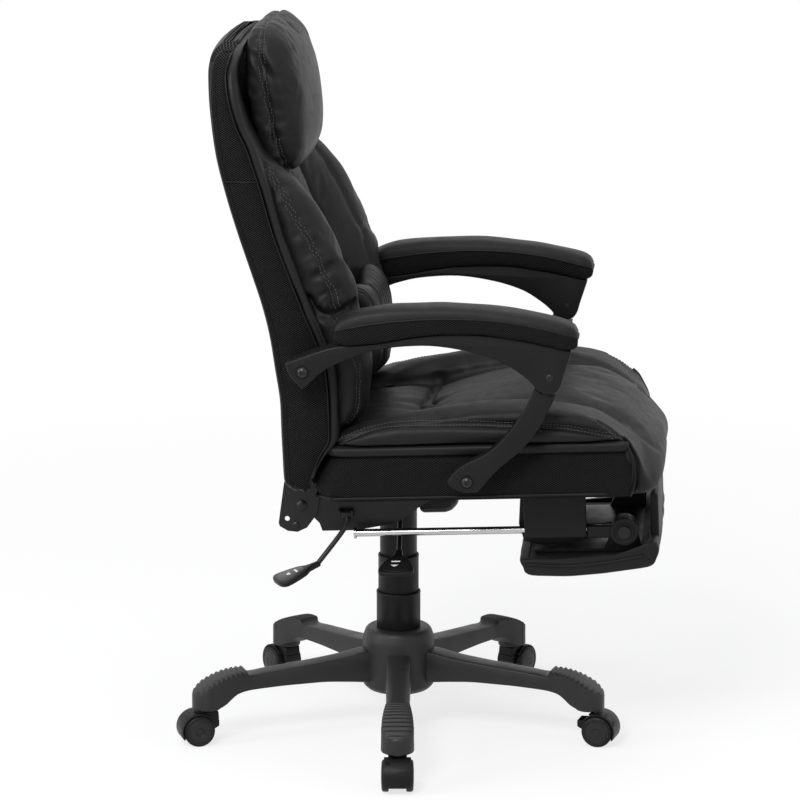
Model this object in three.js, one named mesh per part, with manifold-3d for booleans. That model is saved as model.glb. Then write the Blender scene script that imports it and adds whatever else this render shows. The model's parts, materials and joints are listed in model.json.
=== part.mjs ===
// Reclining office chair with a footrest that slides out from under the seat and folds over.
// Millimetres, +Z up. The chair faces +X and the sitter's left is +Y.
// The origin is on the floor, at the middle of the whole chair's outline.

import * as THREE from 'three';
import { mergeVertices } from 'three/addons/utils/BufferGeometryUtils.js';
import Module from 'manifold-3d';

const wasm = await Module();
wasm.setup();

// Fits shared by every piece
const gap = 0.3;
const looseGap = 0.7;
const cushionGap = 2.5;
const overrun = 5;
const weldSize = 0.02;
const slimHeight = 0.06;
const relaxRounds = 3;
const sheetMetal = 3;

// Base star, measured from the column's axis
const legCount = 5;
const baseTurnDegrees = -85;
const stemCircle = 319;
const legRoot = 30;
const legRootTop = 131;
const legRootFloor = 78;
const legSag = 22;
const legEndFloor = 58;
const legEndTop = 84;
const legWaistWidth = 37;
const legEndWidth = 51;
const hubRadius = 58;
const hubFloor = 62;
const hubHeight = 103;
const collarRadius = 20;
const collarDrop = 6;
const treadRise = 9;
const treadStart = 61;
const treadBulge = 9;
const ribDepth = 2.2;
const ribCount = 11;

// Casters, measured from the stem's axis
const casterTrail = 20;
const wheelRadius = 25;
const wheelWidth = 12.2;
const wheelSpacing = 26.6;
const hoodWall = 2.6;
const hoodTop = 55.5;
const hoodWidth = 42;
const axleRadius = 4;
const stemRadius = 5.5;
const stemLength = 22;

// Gas lift and its sleeves
const gasTubeRadius = 25;
const gasTubeFloor = 66;
const gasTubeTop = 258;
const pistonRadius = 14;
const pistonFloor = 155;
const sleeveWall = 2.1;
const sleeveOuterRadius = 35.4;
const lowerSleeveHeight = 60;
const middleSleeveFloor = 207;
const middleSleeveHeight = 79;
const upperSleeveFloor = 263;

// Seat, in its own frame: on the column's axis, turned back by the seat's angle
const seatAngleDegrees = 2.5;
const seatDatum = 430;
const seatWidth = 500;
const seatRear = 110;
const boxingFront = 371;
const boxingFloor = 5;
const boxingHeight = 75;
const boxingCorner = 48;
const boxingBulge = 9;
const boxingRearSlope = 24;
const seatFront = 429;
const crownRise = 69;
const boardFloor = 14;
const boardThickness = 12;
const boardInset = 14;
const boardFrontInset = 15;
const boardWidth = 424;

// Mechanism, in the seat's frame
const pivotX = -141;
const pivotZ = -25;
const plateSpan = 268;
const plateFloor = -68;
const bracketTop = 100;
const bracketRear = -179;
const hingeRadius = 6;
const hingeHeadRadius = 9;
const hingeHeadHeight = 5;
const lockPinX = -152;
const lockPinZ = -57;
const lockPinRadius = 5;
const lockEyeRadius = 10;
const lockEyePlay = 2.4;
const lockBarRadius = 7;
const lockBarLength = 62;
const lockBarWidth = 12;
const lockBodyRadius = 13;
const lockBodyLength = 56;
const panRear = -62;
const panFront = 32;
const panFloor = -62;
const panWidth = 84;
const flangeRear = -88;
const flangeFront = 62;
const flangeWidth = 180;
const knobRadius = 32;
const knobLength = 62;
const knobZ = -44;
const knobShaftRadius = 5;
const knobShaftLength = 14;
const leverBarrelRadius = 6;
const leverBarrelLength = 16;
const leverRodRadius = 4;
const leverStandOff = 9;
const paddleLength = 72;
const paddleWidth = 56;
const paddleThickness = 8;
const heightLeverX = 7;
const heightLeverZ = -44;
const heightLeverReach = 70;
const heightLeverDrop = 66;
const reclineLeverX = -71;
const reclineLeverZ = -38;
const reclineLeverReach = 42;
const reclineLeverDrop = 70;
const reclineLeverSweep = 44;

// Back, upright from its lower edge
const backFoot = 446;
const backHeight = 681;
const backWidth = 492;
const backRear = 154;
const backLean = 111;
const shellThickness = 78;
const shellHollow = 18;
const shellCorner = 9;
const weltDepth = 13;
const weltStep = 10;
const weltWidthShare = 0.88;
const bolsterSetIn = 20;
const backCushionReach = 129;
const headrestHeight = 238;
const headrestWidth = 290;
const headrestThickness = 77;
const headrestRiseShare = 0.8634361;
const headrestZ = backFoot + headrestRiseShare * backHeight;
const headrestTiltDegrees = 10;
const lumbarWidthShare = 0.4796748;
const lumbarWidth = lumbarWidthShare * backWidth;
const lumbarHeight = 106;
const lumbarThickness = 46;
const lumbarRiseShare = 0.3612335;
const lumbarZ = backFoot + lumbarRiseShare * backHeight;
const lumbarTiltDegrees = 14;

// Arms: pivots in the chair's plane of symmetry, and the arm's own sizes
const armClearance = 50;
const armSpacing = Math.max(seatWidth, backWidth) + armClearance;
const armWidth = 42;
const armBevel = 3;
const rearPivotX = -119;
const rearPivotZ = 648;
const armLength = 435;
const armDepth = 91;
const postPivotShare = 0.86207;
const postPivotX = rearPivotX + postPivotShare * armLength;
const postPivotZ = 647;
const seatPivotX = 131;
const seatPivotZ = 480;
const postWidth = 26;
const postPlay = 3.8;
const postLugRadius = 11;
const postNeckWidth = 13;
const armBoltRadius = 5;
const armBoltHeadRadius = 8.5;
const armBoltHeadHeight = 5;
const postPinRadius = 3.5;
const armPadShare = 0.84828;
const armPadLength = armPadShare * armLength;
const armPadDepth = 64;
const armPadWidth = 62;
const armPadStartShare = 0.10805;
const armPadStart = armPadStartShare * armLength;
const armPadRise = 42;

// Footrest, in the seat's frame
const rodSpacing = 320;
const rodRadius = 6;
const rodRear = -58;
const rodZ = -66;
const rodLength = 364;
const rodStopRadius = 9;
const rodStopThickness = 4;
const guideRear = 210;
const guideLength = 96;
const guideWidth = 24;
const guideFloor = -77;
const eyeX = 365;
const eyeZ = -70;
const eyeRadius = 22;
const eyeWidth = 24;
const eyePinRadius = 8;
const eyeHeadRadius = 10;
const eyeHeadHeight = 3;
const armBarDepth = 19;
const armBarWidth = 18;
const cheekThickness = 10;
const cheekLength = 162;
const cheekDepth = 75;
const trayRear = 205;
const trayLength = 213;
const trayWidth = 370;
const trayFloor = -137;
const trayWallHeight = 53;
const trayWall = 9;
const trayCavityDepth = 28;
const lipTop = -18;
const lipWidth = 262;
const lipThickness = 13.5;
const frameThickness = 4.5;
const frameEarThickness = 7;

// Coarseness of round shapes
const fineSteps = 24;
const roundSteps = 16;
const smallSteps = 10;

const radians = THREE.MathUtils.degToRad;

// Finishes
const leatherColor = 0x17171a;
const meshColor = 0x101012;
const plasticColor = 0x1c1c1f;
const steelColor = 0x141416;
const chromeColor = 0xc9ccd0;
const boardColor = 0x2a2724;

function leather() {
  return new THREE.MeshStandardMaterial({ color: leatherColor, roughness: 0.42, metalness: 0 });
}

function meshFabric() {
  return new THREE.MeshStandardMaterial({ color: meshColor, roughness: 0.9, metalness: 0 });
}

function plastic() {
  return new THREE.MeshStandardMaterial({ color: plasticColor, roughness: 0.55, metalness: 0 });
}

function paintedSteel() {
  return new THREE.MeshStandardMaterial({ color: steelColor, roughness: 0.45, metalness: 0.3 });
}

function chrome() {
  return new THREE.MeshStandardMaterial({ color: chromeColor, roughness: 0.12, metalness: 1 });
}

function board() {
  return new THREE.MeshStandardMaterial({ color: boardColor, roughness: 0.8, metalness: 0 });
}

// Geometry with near corners merged, flat and folded triangles dropped and faces pointing out
function tidy(geometry) {
  const bare = geometry.clone();
  for (const name of Object.keys(bare.attributes)) {
    if (name !== 'position') {
      bare.deleteAttribute(name);
    }
  }
  const merged = mergeVertices(bare, weldSize);
  const from = merged.index.array;
  const kept = new Map();
  for (let i = 0; i < from.length; i += 3) {
    const corners = [from[i], from[i + 1], from[i + 2]];
    const key = [...corners].sort((first, second) => first - second).join();
    if (new Set(corners).size < 3) {
      continue;
    }
    if (kept.has(key)) {
      kept.delete(key);
    } else {
      kept.set(key, corners);
    }
  }
  const faces = [...kept.values()].flat();
  const points = merged.attributes.position;
  const [a, b, c] = [new THREE.Vector3(), new THREE.Vector3(), new THREE.Vector3()];
  let volume = 0;
  for (let i = 0; i < faces.length; i += 3) {
    a.fromBufferAttribute(points, faces[i]);
    b.fromBufferAttribute(points, faces[i + 1]);
    c.fromBufferAttribute(points, faces[i + 2]);
    volume += a.dot(b.cross(c));
  }
  merged.setIndex(volume < 0 ? faces.reverse() : faces);
  return merged;
}

// Height of a triangle over its longest edge
function slimness(a, b, c) {
  const longest = Math.max(a.distanceTo(b), b.distanceTo(c), c.distanceTo(a));
  return b.clone().sub(a).cross(c.clone().sub(a)).length() / longest;
}

// Triangles with every edge under the slim height drawn together to one corner
function drawnTogether(faces, at) {
  const joined = new Map();
  const root = (corner) => (joined.has(corner) ? root(joined.get(corner)) : corner);
  for (const face of faces) {
    for (const [k, from] of face.entries()) {
      const [first, second] = [root(from), root(face[(k + 1) % 3])];
      if (first !== second && at(first).distanceTo(at(second)) < slimHeight) {
        joined.set(first, second);
      }
    }
  }
  return faces.map((face) => face.map(root)).filter((face) => new Set(face).size === 3);
}

// Slim triangles turned over their longest edge where that leaves both new ones fuller
function turnedOver(faces, at) {
  const owner = new Map();
  for (const face of faces) {
    face.forEach((from, k) => owner.set(`${from},${face[(k + 1) % 3]}`, face));
  }
  const turned = new Set();
  for (const face of faces.filter((corners) => slimness(...corners.map(at)) < slimHeight)) {
    const edges = face.map((from, k) => at(from).distanceTo(at(face[(k + 1) % 3])));
    const k = edges.indexOf(Math.max(...edges));
    const [from, to, tip] = [face[k], face[(k + 1) % 3], face[(k + 2) % 3]];
    const mate = owner.get(`${to},${from}`);
    if (turned.has(face) || mate === undefined || turned.has(mate)) {
      continue;
    }
    const far = mate.find((corner) => corner !== from && corner !== to);
    const pair = [[tip, from, far], [far, to, tip]];
    const fuller = pair.every((corners) => slimness(...corners.map(at)) > slimness(...face.map(at)));
    if (fuller && !owner.has(`${tip},${far}`) && !owner.has(`${far},${tip}`)) {
      turned.add(face).add(mate);
      face.splice(0, 3, ...pair[0]);
      mate.splice(0, 3, ...pair[1]);
    }
  }
  return faces;
}

// The same surface after a change to the list of its triangles
function refaced(geometry, change) {
  const points = geometry.attributes.position;
  const at = (corner) => new THREE.Vector3().fromBufferAttribute(points, corner);
  const flat = geometry.index.array;
  const faces = [];
  for (let i = 0; i < flat.length; i += 3) {
    faces.push([flat[i], flat[i + 1], flat[i + 2]]);
  }
  geometry.setIndex(change(faces, at).flat());
  return geometry;
}

// The same closed surface without slim triangles, which a mesher could drop
function relaxed(geometry) {
  let closed = tidy(refaced(tidy(geometry), drawnTogether));
  for (let round = 0; round < relaxRounds; round += 1) {
    closed = refaced(closed, turnedOver);
  }
  return closed;
}

function toSolid(geometry) {
  const closed = tidy(geometry);
  const vertProperties = new Float32Array(closed.attributes.position.array);
  const triVerts = new Uint32Array(closed.index.array);
  return new wasm.Manifold(new wasm.Mesh({ numProp: 3, vertProperties, triVerts }));
}

function fromSolid(solid) {
  const mesh = solid.getMesh();
  const geometry = new THREE.BufferGeometry();
  geometry.setAttribute('position', new THREE.BufferAttribute(new Float32Array(mesh.vertProperties), 3));
  geometry.setIndex(Array.from(mesh.triVerts));
  return geometry;
}

function join(...geometries) {
  return fromSolid(geometries.map(toSolid).reduce((sum, solid) => sum.add(solid)));
}

function cut(geometry, ...tools) {
  return fromSolid(tools.map(toSolid).reduce((rest, tool) => rest.subtract(tool), toSolid(geometry)));
}

function common(first, second) {
  return fromSolid(toSolid(first).intersect(toSolid(second)));
}

// The same solid grown about its middle, so that its box gains the given room on every side
function swollen(geometry, room) {
  const grown = geometry.clone();
  grown.computeBoundingBox();
  const centre = grown.boundingBox.getCenter(new THREE.Vector3());
  const size = grown.boundingBox.getSize(new THREE.Vector3());
  grown.translate(-centre.x, -centre.y, -centre.z);
  grown.scale(1 + 2 * room / size.x, 1 + 2 * room / size.y, 1 + 2 * room / size.z);
  grown.translate(centre.x, centre.y, centre.z);
  return grown;
}

// Closed solid through rings that hold equally many points, with a fan over each end
function loft(rings) {
  const count = rings[0].length;
  const positions = [];
  const faces = [];
  for (const ring of rings) {
    for (const point of ring) {
      positions.push(point.x, point.y, point.z);
    }
  }
  for (let i = 0; i < rings.length - 1; i += 1) {
    for (let j = 0; j < count; j += 1) {
      const next = (j + 1) % count;
      const [a, b] = [i * count + j, i * count + next];
      const [c, d] = [a + count, b + count];
      faces.push(a, b, d, a, d, c);
    }
  }
  for (const [ring, start, flip] of [[rings[0], 0, true], [rings.at(-1), (rings.length - 1) * count, false]]) {
    const centre = new THREE.Vector3();
    for (const point of ring) {
      centre.addScaledVector(point, 1 / count);
    }
    const middle = positions.length / 3;
    positions.push(centre.x, centre.y, centre.z);
    for (let j = 0; j < count; j += 1) {
      const next = (j + 1) % count;
      faces.push(middle, start + (flip ? next : j), start + (flip ? j : next));
    }
  }
  const geometry = new THREE.BufferGeometry();
  geometry.setAttribute('position', new THREE.Float32BufferAttribute(positions, 3));
  geometry.setIndex(faces);
  return tidy(geometry);
}

// Corner points of a rectangle with round corners, counterclockwise
function roundedRectangle(width, depth, radius, steps) {
  const points = [];
  const corners = [[1, 1, 0], [-1, 1, 1], [-1, -1, 2], [1, -1, 3]];
  for (const [sideX, sideY, quarter] of corners) {
    for (let i = 0; i <= steps; i += 1) {
      const angle = (quarter + i / steps) * Math.PI / 2;
      const x = sideX * (width / 2 - radius) + radius * Math.cos(angle);
      const y = sideY * (depth / 2 - radius) + radius * Math.sin(angle);
      points.push(new THREE.Vector2(x, y));
    }
  }
  return points;
}

// Prism of an outline in the XZ plane, centred on y, with an optional bevel inside its width
function slab(outline, width, y = 0, bevel = 0) {
  const shape = new THREE.Shape(outline.map(([x, z]) => new THREE.Vector2(x, z)));
  const settings = {
    depth: width - 2 * bevel,
    bevelEnabled: bevel > 0,
    bevelSize: bevel,
    bevelThickness: bevel,
    bevelOffset: -bevel,
    bevelSegments: 1,
  };
  const geometry = new THREE.ExtrudeGeometry(shape, settings);
  geometry.translate(0, 0, -(width - 2 * bevel) / 2);
  geometry.rotateX(Math.PI / 2);
  geometry.translate(0, y, 0);
  return tidy(geometry);
}

// Prism of an outline in the XY plane, upwards from z
function plinth(outline, height, z) {
  const shape = new THREE.Shape(outline.map(([x, y]) => new THREE.Vector2(x, y)));
  const geometry = new THREE.ExtrudeGeometry(shape, { depth: height, bevelEnabled: false });
  geometry.translate(0, 0, z);
  return tidy(geometry);
}

function block(x0, x1, y0, y1, z0, z1) {
  const geometry = new THREE.BoxGeometry(x1 - x0, y1 - y0, z1 - z0);
  geometry.translate((x0 + x1) / 2, (y0 + y1) / 2, (z0 + z1) / 2);
  return geometry;
}

function upright(radius, z0, z1, x = 0, y = 0, steps = smallSteps) {
  const geometry = new THREE.CylinderGeometry(radius, radius, z1 - z0, steps);
  geometry.rotateX(Math.PI / 2);
  geometry.translate(x, y, (z0 + z1) / 2);
  return geometry;
}

function crosswise(radius, y0, y1, x = 0, z = 0, steps = smallSteps) {
  const geometry = new THREE.CylinderGeometry(radius, radius, y1 - y0, steps);
  geometry.translate(x, (y0 + y1) / 2, z);
  return geometry;
}

function lengthwise(radius, x0, x1, y = 0, z = 0, steps = smallSteps) {
  const geometry = new THREE.CylinderGeometry(radius, radius, x1 - x0, steps);
  geometry.rotateZ(-Math.PI / 2);
  geometry.translate((x0 + x1) / 2, y, z);
  return geometry;
}

// Turned solid about the Z axis from [radius, z] points that start and end on the axis
function turned(profile, steps = fineSteps) {
  const points = profile.map(([radius, z]) => new THREE.Vector2(radius, z));
  const geometry = new THREE.LatheGeometry(points, steps);
  geometry.rotateX(Math.PI / 2);
  return tidy(geometry);
}

// Turned ring about the Z axis from a closed loop of [radius, z] points
function ringTurned(profile, steps = fineSteps) {
  return turned([...profile, profile[0]], steps);
}

function place(name, geometry, material, group) {
  const mesh = new THREE.Mesh(relaxed(geometry), material);
  mesh.name = name;
  group.add(mesh);
  return mesh;
}

// Value of a table at a share of the way along it, straight between its rows
function along(table, share, column) {
  let row = 1;
  while (row < table.length - 1 && table[row][0] < share) {
    row += 1;
  }
  const [low, high] = [table[row - 1], table[row]];
  const part = THREE.MathUtils.clamp((share - low[0]) / (high[0] - low[0]), 0, 1);
  return low[column] + part * (high[column] - low[column]);
}

const chair = new THREE.Group();
const seatGroup = new THREE.Group();
seatGroup.position.z = seatDatum;
seatGroup.rotation.y = -radians(seatAngleDegrees);
chair.add(seatGroup);

// Base star
// Side outline of one leg: distance from the axis, and height
function legSide() {
  const tip = stemCircle + legEndWidth / 2 + looseGap;
  const treadFoot = stemCircle - treadStart;
  const treadTop = legEndTop + treadRise * 3 + ribDepth * 3;
  const points = [
    [legRoot, legRootTop],
    [hubRadius, legRootTop],
    [treadFoot - treadRise, legRootTop - legSag],
    [treadFoot, treadTop],
  ];
  for (let i = 1; i < 2 * ribCount; i += 1) {
    const share = i / (2 * ribCount);
    const crest = i % 2 === 1 ? ribDepth : 0;
    const x = treadFoot + share * (tip - treadFoot);
    const z = treadTop + share * (legEndTop - treadTop) + 4 * treadBulge * share * (1 - share);
    points.push([x, z + crest - ribDepth]);
  }
  points.push([tip, legEndTop]);
  points.push([tip, legEndFloor]);
  points.push([stemCircle - collarRadius, legEndFloor + collarDrop]);
  points.push([stemCircle - legEndWidth, legRootFloor + ribDepth]);
  points.push([treadFoot - legEndWidth, legRootFloor + treadBulge]);
  points.push([(legRoot + treadFoot) / 2, legRootFloor + treadBulge]);
  points.push([legRoot, legRootFloor]);
  return points;
}

// Plan outline of one leg, with its waist and its round end
function legPlan() {
  const half = legEndWidth / 2;
  const waist = legWaistWidth / 2;
  const side = [
    [legRoot, waist + sleeveWall],
    [stemCircle - 2 * legEndWidth, waist],
    [stemCircle - treadStart, waist],
    [stemCircle - half - overrun, half - sleeveWall],
  ];
  const round = [];
  for (let i = 0; i <= smallSteps; i += 1) {
    const angle = Math.PI / 2 - i * Math.PI / smallSteps;
    round.push([stemCircle + half * Math.cos(angle), half * Math.sin(angle)]);
  }
  const mirrored = side.map(([x, y]) => [x, -y]).reverse();
  return [...mirrored, ...round.reverse(), ...side.reverse()];
}

function buildBase(group) {
  const side = slab(legSide(), legEndWidth + 2 * overrun);
  const plan = plinth(legPlan(), legRootTop + overrun, 0);
  const collar = upright(collarRadius, legEndFloor - sleeveWall, legEndFloor + treadRise, stemCircle);
  const leg = join(common(side, plan), collar);
  const bore = gasTubeRadius + gap;
  const hubCeiling = hubFloor + hubHeight;
  const hub = turned([
    [0, hubFloor],
    [hubRadius - treadRise, hubFloor],
    [hubRadius, hubFloor + treadRise],
    [hubRadius, hubCeiling - 2 * treadRise],
    [hubRadius - treadRise / 2, hubCeiling - treadRise / 2],
    [hubRadius - treadRise, hubCeiling],
    [0, hubCeiling],
  ]);
  const legs = [];
  const sockets = [];
  for (let i = 0; i < legCount; i += 1) {
    const turn = radians(baseTurnDegrees) + i * 2 * Math.PI / legCount;
    legs.push(leg.clone().rotateZ(turn));
    const socketTop = hoodTop + stemLength + gap;
    sockets.push(upright(stemRadius + gap, 0, socketTop, stemCircle).rotateZ(turn));
  }
  const tube = upright(bore, hubFloor - overrun, hubCeiling + overrun, 0, 0, fineSteps);
  place('base_star', cut(join(hub, ...legs), tube, ...sockets), plastic(), group);
}

// Casters
// One wheel about the Z axis, with its blind bore facing down
function wheelSolid() {
  const corner = wheelRadius / Math.cos(Math.PI / roundSteps);
  const shoulder = wheelWidth / 3;
  return turned([
    [0, wheelWidth],
    [corner - shoulder, wheelWidth - shoulder / 4],
    [corner, wheelWidth - shoulder],
    [corner, 0],
    [axleRadius + gap, 0],
    [axleRadius + gap, wheelWidth - shoulder],
    [0, wheelWidth - shoulder],
  ], roundSteps).rotateZ(Math.PI / roundSteps);
}

function hoodSolid() {
  const inner = wheelRadius / Math.cos(Math.PI / roundSteps) + gap;
  const outer = inner + hoodWall;
  const webWidth = wheelSpacing - 2 * gap;
  const [start, end] = [radians(-28), radians(145)];
  const steps = smallSteps;
  const arcPoint = (radius, angle) => [casterTrail + radius * Math.cos(angle), wheelRadius + radius * Math.sin(angle)];
  const fender = [];
  const web = [];
  for (let i = 0; i <= steps; i += 1) {
    fender.push(arcPoint(outer, start + i * (end - start) / steps));
    web.push(arcPoint(outer, start + i * (end - start) / steps));
  }
  for (let i = steps; i >= 0; i -= 1) {
    fender.push(arcPoint(inner, start + i * (end - start) / steps));
  }
  const neck = casterTrail - stemRadius;
  web.push([-neck, wheelRadius + neck]);
  web.push([-neck, wheelRadius + axleRadius]);
  web.push([0, wheelRadius - axleRadius]);
  web.push([casterTrail, wheelRadius / 2]);
  const wheelSpace = crosswise(inner, -hoodWidth, hoodWidth, casterTrail, wheelRadius, fineSteps);
  const steeple = cut(block(-neck, neck, -neck, neck, wheelRadius + neck, hoodTop), wheelSpace);
  const stem = upright(stemRadius, wheelRadius + inner, hoodTop + stemLength);
  const axle = crosswise(axleRadius, -hoodWidth / 2, hoodWidth / 2, casterTrail, wheelRadius);
  return join(slab(fender, hoodWidth), slab(web, webWidth), steeple, stem, axle);
}

function buildCasters(group) {
  const hood = hoodSolid();
  const wheel = wheelSolid();
  for (let i = 0; i < legCount; i += 1) {
    const turn = radians(baseTurnDegrees) + i * 2 * Math.PI / legCount;
    const caster = new THREE.Group();
    caster.position.set(stemCircle * Math.cos(turn), stemCircle * Math.sin(turn), 0);
    caster.rotation.z = turn;
    group.add(caster);
    place(`caster_${i + 1}_hood`, hood, plastic(), caster);
    for (const [side, sign] of [['left', 1], ['right', -1]]) {
      const mesh = place(`caster_${i + 1}_wheel_${side}`, wheel, plastic(), caster);
      mesh.rotation.x = -sign * Math.PI / 2;
      mesh.position.set(casterTrail, sign * wheelSpacing / 2, wheelRadius);
    }
  }
}

// Gas lift and its sleeves
function sleeve(radius, z0, z1) {
  return ringTurned([[radius - sleeveWall, z0], [radius, z0], [radius, z1], [radius - sleeveWall, z1]]);
}

const hubCeiling = hubFloor + hubHeight;
const middleSleeveRadius = sleeveOuterRadius - sleeveWall - looseGap;
const upperSleeveRadius = middleSleeveRadius - sleeveWall - looseGap;
const upperSleeveTop = seatDatum + panFloor - overrun;

function buildColumn(group) {
  const bore = pistonRadius + gap;
  const tube = ringTurned([
    [bore, gasTubeFloor],
    [gasTubeRadius, gasTubeFloor],
    [gasTubeRadius, gasTubeTop],
    [bore, gasTubeTop],
  ]);
  place('gas_tube', tube, paintedSteel(), group);
  const pistonTop = seatDatum - pistonRadius;
  place('gas_piston', upright(pistonRadius, pistonFloor, pistonTop, 0, 0, roundSteps), chrome(), group);
  const lowerTop = hubCeiling + lowerSleeveHeight;
  place('sleeve_lower', sleeve(sleeveOuterRadius, hubCeiling + gap, lowerTop), plastic(), group);
  const middleTop = middleSleeveFloor + middleSleeveHeight;
  place('sleeve_middle', sleeve(middleSleeveRadius, middleSleeveFloor, middleTop), plastic(), group);
  place('sleeve_upper', sleeve(upperSleeveRadius, upperSleeveFloor, upperSleeveTop), plastic(), group);
}

// Mechanism
function buildHousing() {
  const flangeTop = boardFloor - gap;
  const half = panWidth / 2;
  const edge = leverBarrelRadius;
  const pan = slab([
    [panRear, flangeTop],
    [panRear, panFloor + edge],
    [panRear + edge, panFloor],
    [panFront - edge, panFloor],
    [panFront, panFloor + edge],
    [panFront, flangeTop],
  ], panWidth);
  const flange = block(flangeRear, flangeFront, -flangeWidth / 2, flangeWidth / 2, flangeTop - sheetMetal, flangeTop);
  const ears = [-1, 1].map((side) => {
    const middle = heightLeverX + side * (leverBarrelLength / 2 + gap + sheetMetal / 2);
    const low = heightLeverZ - leverBarrelRadius;
    const high = heightLeverZ + leverBarrelRadius;
    const reach = half + leverStandOff + leverBarrelRadius;
    return block(middle - sheetMetal / 2, middle + sheetMetal / 2, -reach, -half + sheetMetal, low, high);
  });
  const bore = upright(pistonRadius + gap, panFloor - 2 * overrun, -pistonRadius + 2 * gap, 0, 0, roundSteps);
  bore.rotateY(radians(seatAngleDegrees));
  const shaftHole = lengthwise(knobShaftRadius + gap, panFront - knobShaftLength, panFront + overrun, 0, knobZ);
  return cut(join(pan, flange, ...ears), bore, shaftHole);
}

function buildKnob() {
  const front = knobLength;
  const edge = knobRadius / 3;
  const knob = turned([
    [0, -knobShaftLength + 2 * gap],
    [knobShaftRadius, -knobShaftLength + 2 * gap],
    [knobShaftRadius, 0],
    [knobRadius - edge / 2, 0],
    [knobRadius, edge / 2],
    [knobRadius, front - 2 * edge],
    [knobRadius - edge / 3, front - edge],
    [knobRadius - edge, front - edge / 3],
    [knobRadius / 2, front],
    [0, front],
  ]);
  knob.rotateY(Math.PI / 2);
  knob.translate(panFront + gap, 0, knobZ);
  return knob;
}

// Paddle in the XY plane: its neck at the origin, growing along +X
const paddleShares = [
  [-0.06, 0.09], [0.22, 0.14], [0.36, 0.32], [0.8, 0.5], [0.92, 0.46], [1, 0.2],
];

function paddleSolid(start, end) {
  const points = paddleShares.map(([x, y]) => new THREE.Vector2(x * paddleLength, y * paddleWidth));
  const mirrored = points.map((point) => new THREE.Vector2(point.x, -point.y)).reverse();
  const shape = new THREE.Shape([...mirrored, ...points]);
  const bevel = paddleThickness / 4;
  const geometry = new THREE.ExtrudeGeometry(shape, {
    depth: paddleThickness - 2 * bevel,
    bevelEnabled: true,
    bevelSize: bevel,
    bevelThickness: bevel,
    bevelOffset: -bevel,
    bevelSegments: 1,
  });
  geometry.translate(0, 0, -paddleThickness / 2 + bevel);
  const forward = end.clone().sub(start).normalize();
  const across = new THREE.Vector3(0, 0, 1).cross(forward).normalize();
  const up = forward.clone().cross(across);
  geometry.applyMatrix4(new THREE.Matrix4().makeBasis(forward, across, up).setPosition(start));
  return geometry;
}

// Lever: a barrel on its pivot, a bent rod through the points, and a paddle past the last one
function leverSolid(barrel, points, paddleEnd) {
  const half = leverBarrelLength / 2;
  const hub = lengthwise(leverBarrelRadius, barrel.x - half, barrel.x + half, barrel.y, barrel.z);
  const curve = new THREE.CatmullRomCurve3([barrel, ...points]);
  const circle = new THREE.Shape();
  circle.absarc(0, 0, leverRodRadius, 0, 2 * Math.PI);
  const rod = new THREE.ExtrudeGeometry(circle, { steps: smallSteps, extrudePath: curve, curveSegments: 3 });
  return join(hub, rod, paddleSolid(points.at(-1), paddleEnd));
}

const plateOuter = plateSpan / 2 + sheetMetal;
const bracketInner = plateOuter + 2 * gap;
const bracketOuter = bracketInner + sheetMetal;

const plateShares = [
  [-0.08, 0.16], [0.14, 0.885], [0.23, 0.885], [0.23, 1], [1, 1], [1, 0.58], [0.73, 0.14], [0.66, 0.1], [0.42, 0],
  [0.15, 0], [0.13, 0.16], [0.06, 0.34], [-0.05, 0.44], [-0.08, 0.4],
];

function sidePlate(side) {
  const height = boardFloor - gap - plateFloor;
  const length = flangeFront - pivotX;
  const top = boardFloor - gap;
  const outline = plateShares.map(([x, z]) => [pivotX + x * length, plateFloor + z * height]);
  outline[0] = [pivotX - 2 * hingeRadius, pivotZ + 2 * hingeRadius];
  const web = slab(outline, sheetMetal, side * (plateSpan / 2 + sheetMetal / 2));
  const inner = side * (plateSpan / 2 - flangeWidth / 8);
  const outer = side * plateOuter;
  const [y0, y1] = [Math.min(inner, outer), Math.max(inner, outer)];
  const flange = block(flangeRear, flangeFront, y0, y1, top - sheetMetal, top);
  const hole = crosswise(hingeRadius + gap, y0 - overrun, y1 + overrun, pivotX, pivotZ, roundSteps);
  let plate = join(web, flange);
  if (side < 0) {
    const ears = [-1, 1].map((end) => {
      const middle = reclineLeverX + end * (leverBarrelLength / 2 + gap + sheetMetal / 2);
      const low = reclineLeverZ - leverBarrelRadius;
      const reach = plateOuter + leverStandOff + leverBarrelRadius;
      const [x0, x1] = [middle - sheetMetal / 2, middle + sheetMetal / 2];
      return block(x0, x1, -reach, -plateOuter + sheetMetal / 2, low, low + 2 * leverBarrelRadius);
    });
    plate = join(plate, ...ears);
  }
  return cut(plate, hole);
}

// Back bracket outline: along from its rear edge, and up from its floor to its top in the shell
const bracketShares = [
  [0, 0.09], [0.02, 0.06], [0.2, 0.012], [0.42, 0], [0.64, 0.04], [0.88, 0.17], [0.97, 0.35],
  [0.75, 0.56], [0.72, 1], [0.3, 1], [0.26, 0.62], [0.16, 0.46],
];

const bracketLength = 70;

function bracketOutline(spare) {
  const height = bracketTop - plateFloor;
  const middle = bracketRear + bracketLength / 2;
  return bracketShares.map(([x, z]) => {
    const raw = bracketRear + x * bracketLength;
    const outwards = raw < middle ? -spare : spare;
    return [raw + outwards, plateFloor + z * height + (z > 0.9 ? spare : 0)];
  });
}

function backBracket(side) {
  const middle = side * (bracketInner + sheetMetal / 2);
  const [y0, y1] = [middle - overrun, middle + overrun];
  const plate = slab(bracketOutline(0), sheetMetal, middle);
  const holes = [
    crosswise(hingeRadius + gap, y0, y1, pivotX, pivotZ, roundSteps),
    crosswise(lockPinRadius + gap, y0, y1, lockPinX, lockPinZ),
    crosswise(leverRodRadius, y0, y1, pivotX - 4 * hingeRadius, pivotZ - 3.5 * hingeRadius),
  ];
  return cut(plate, ...holes);
}

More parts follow.
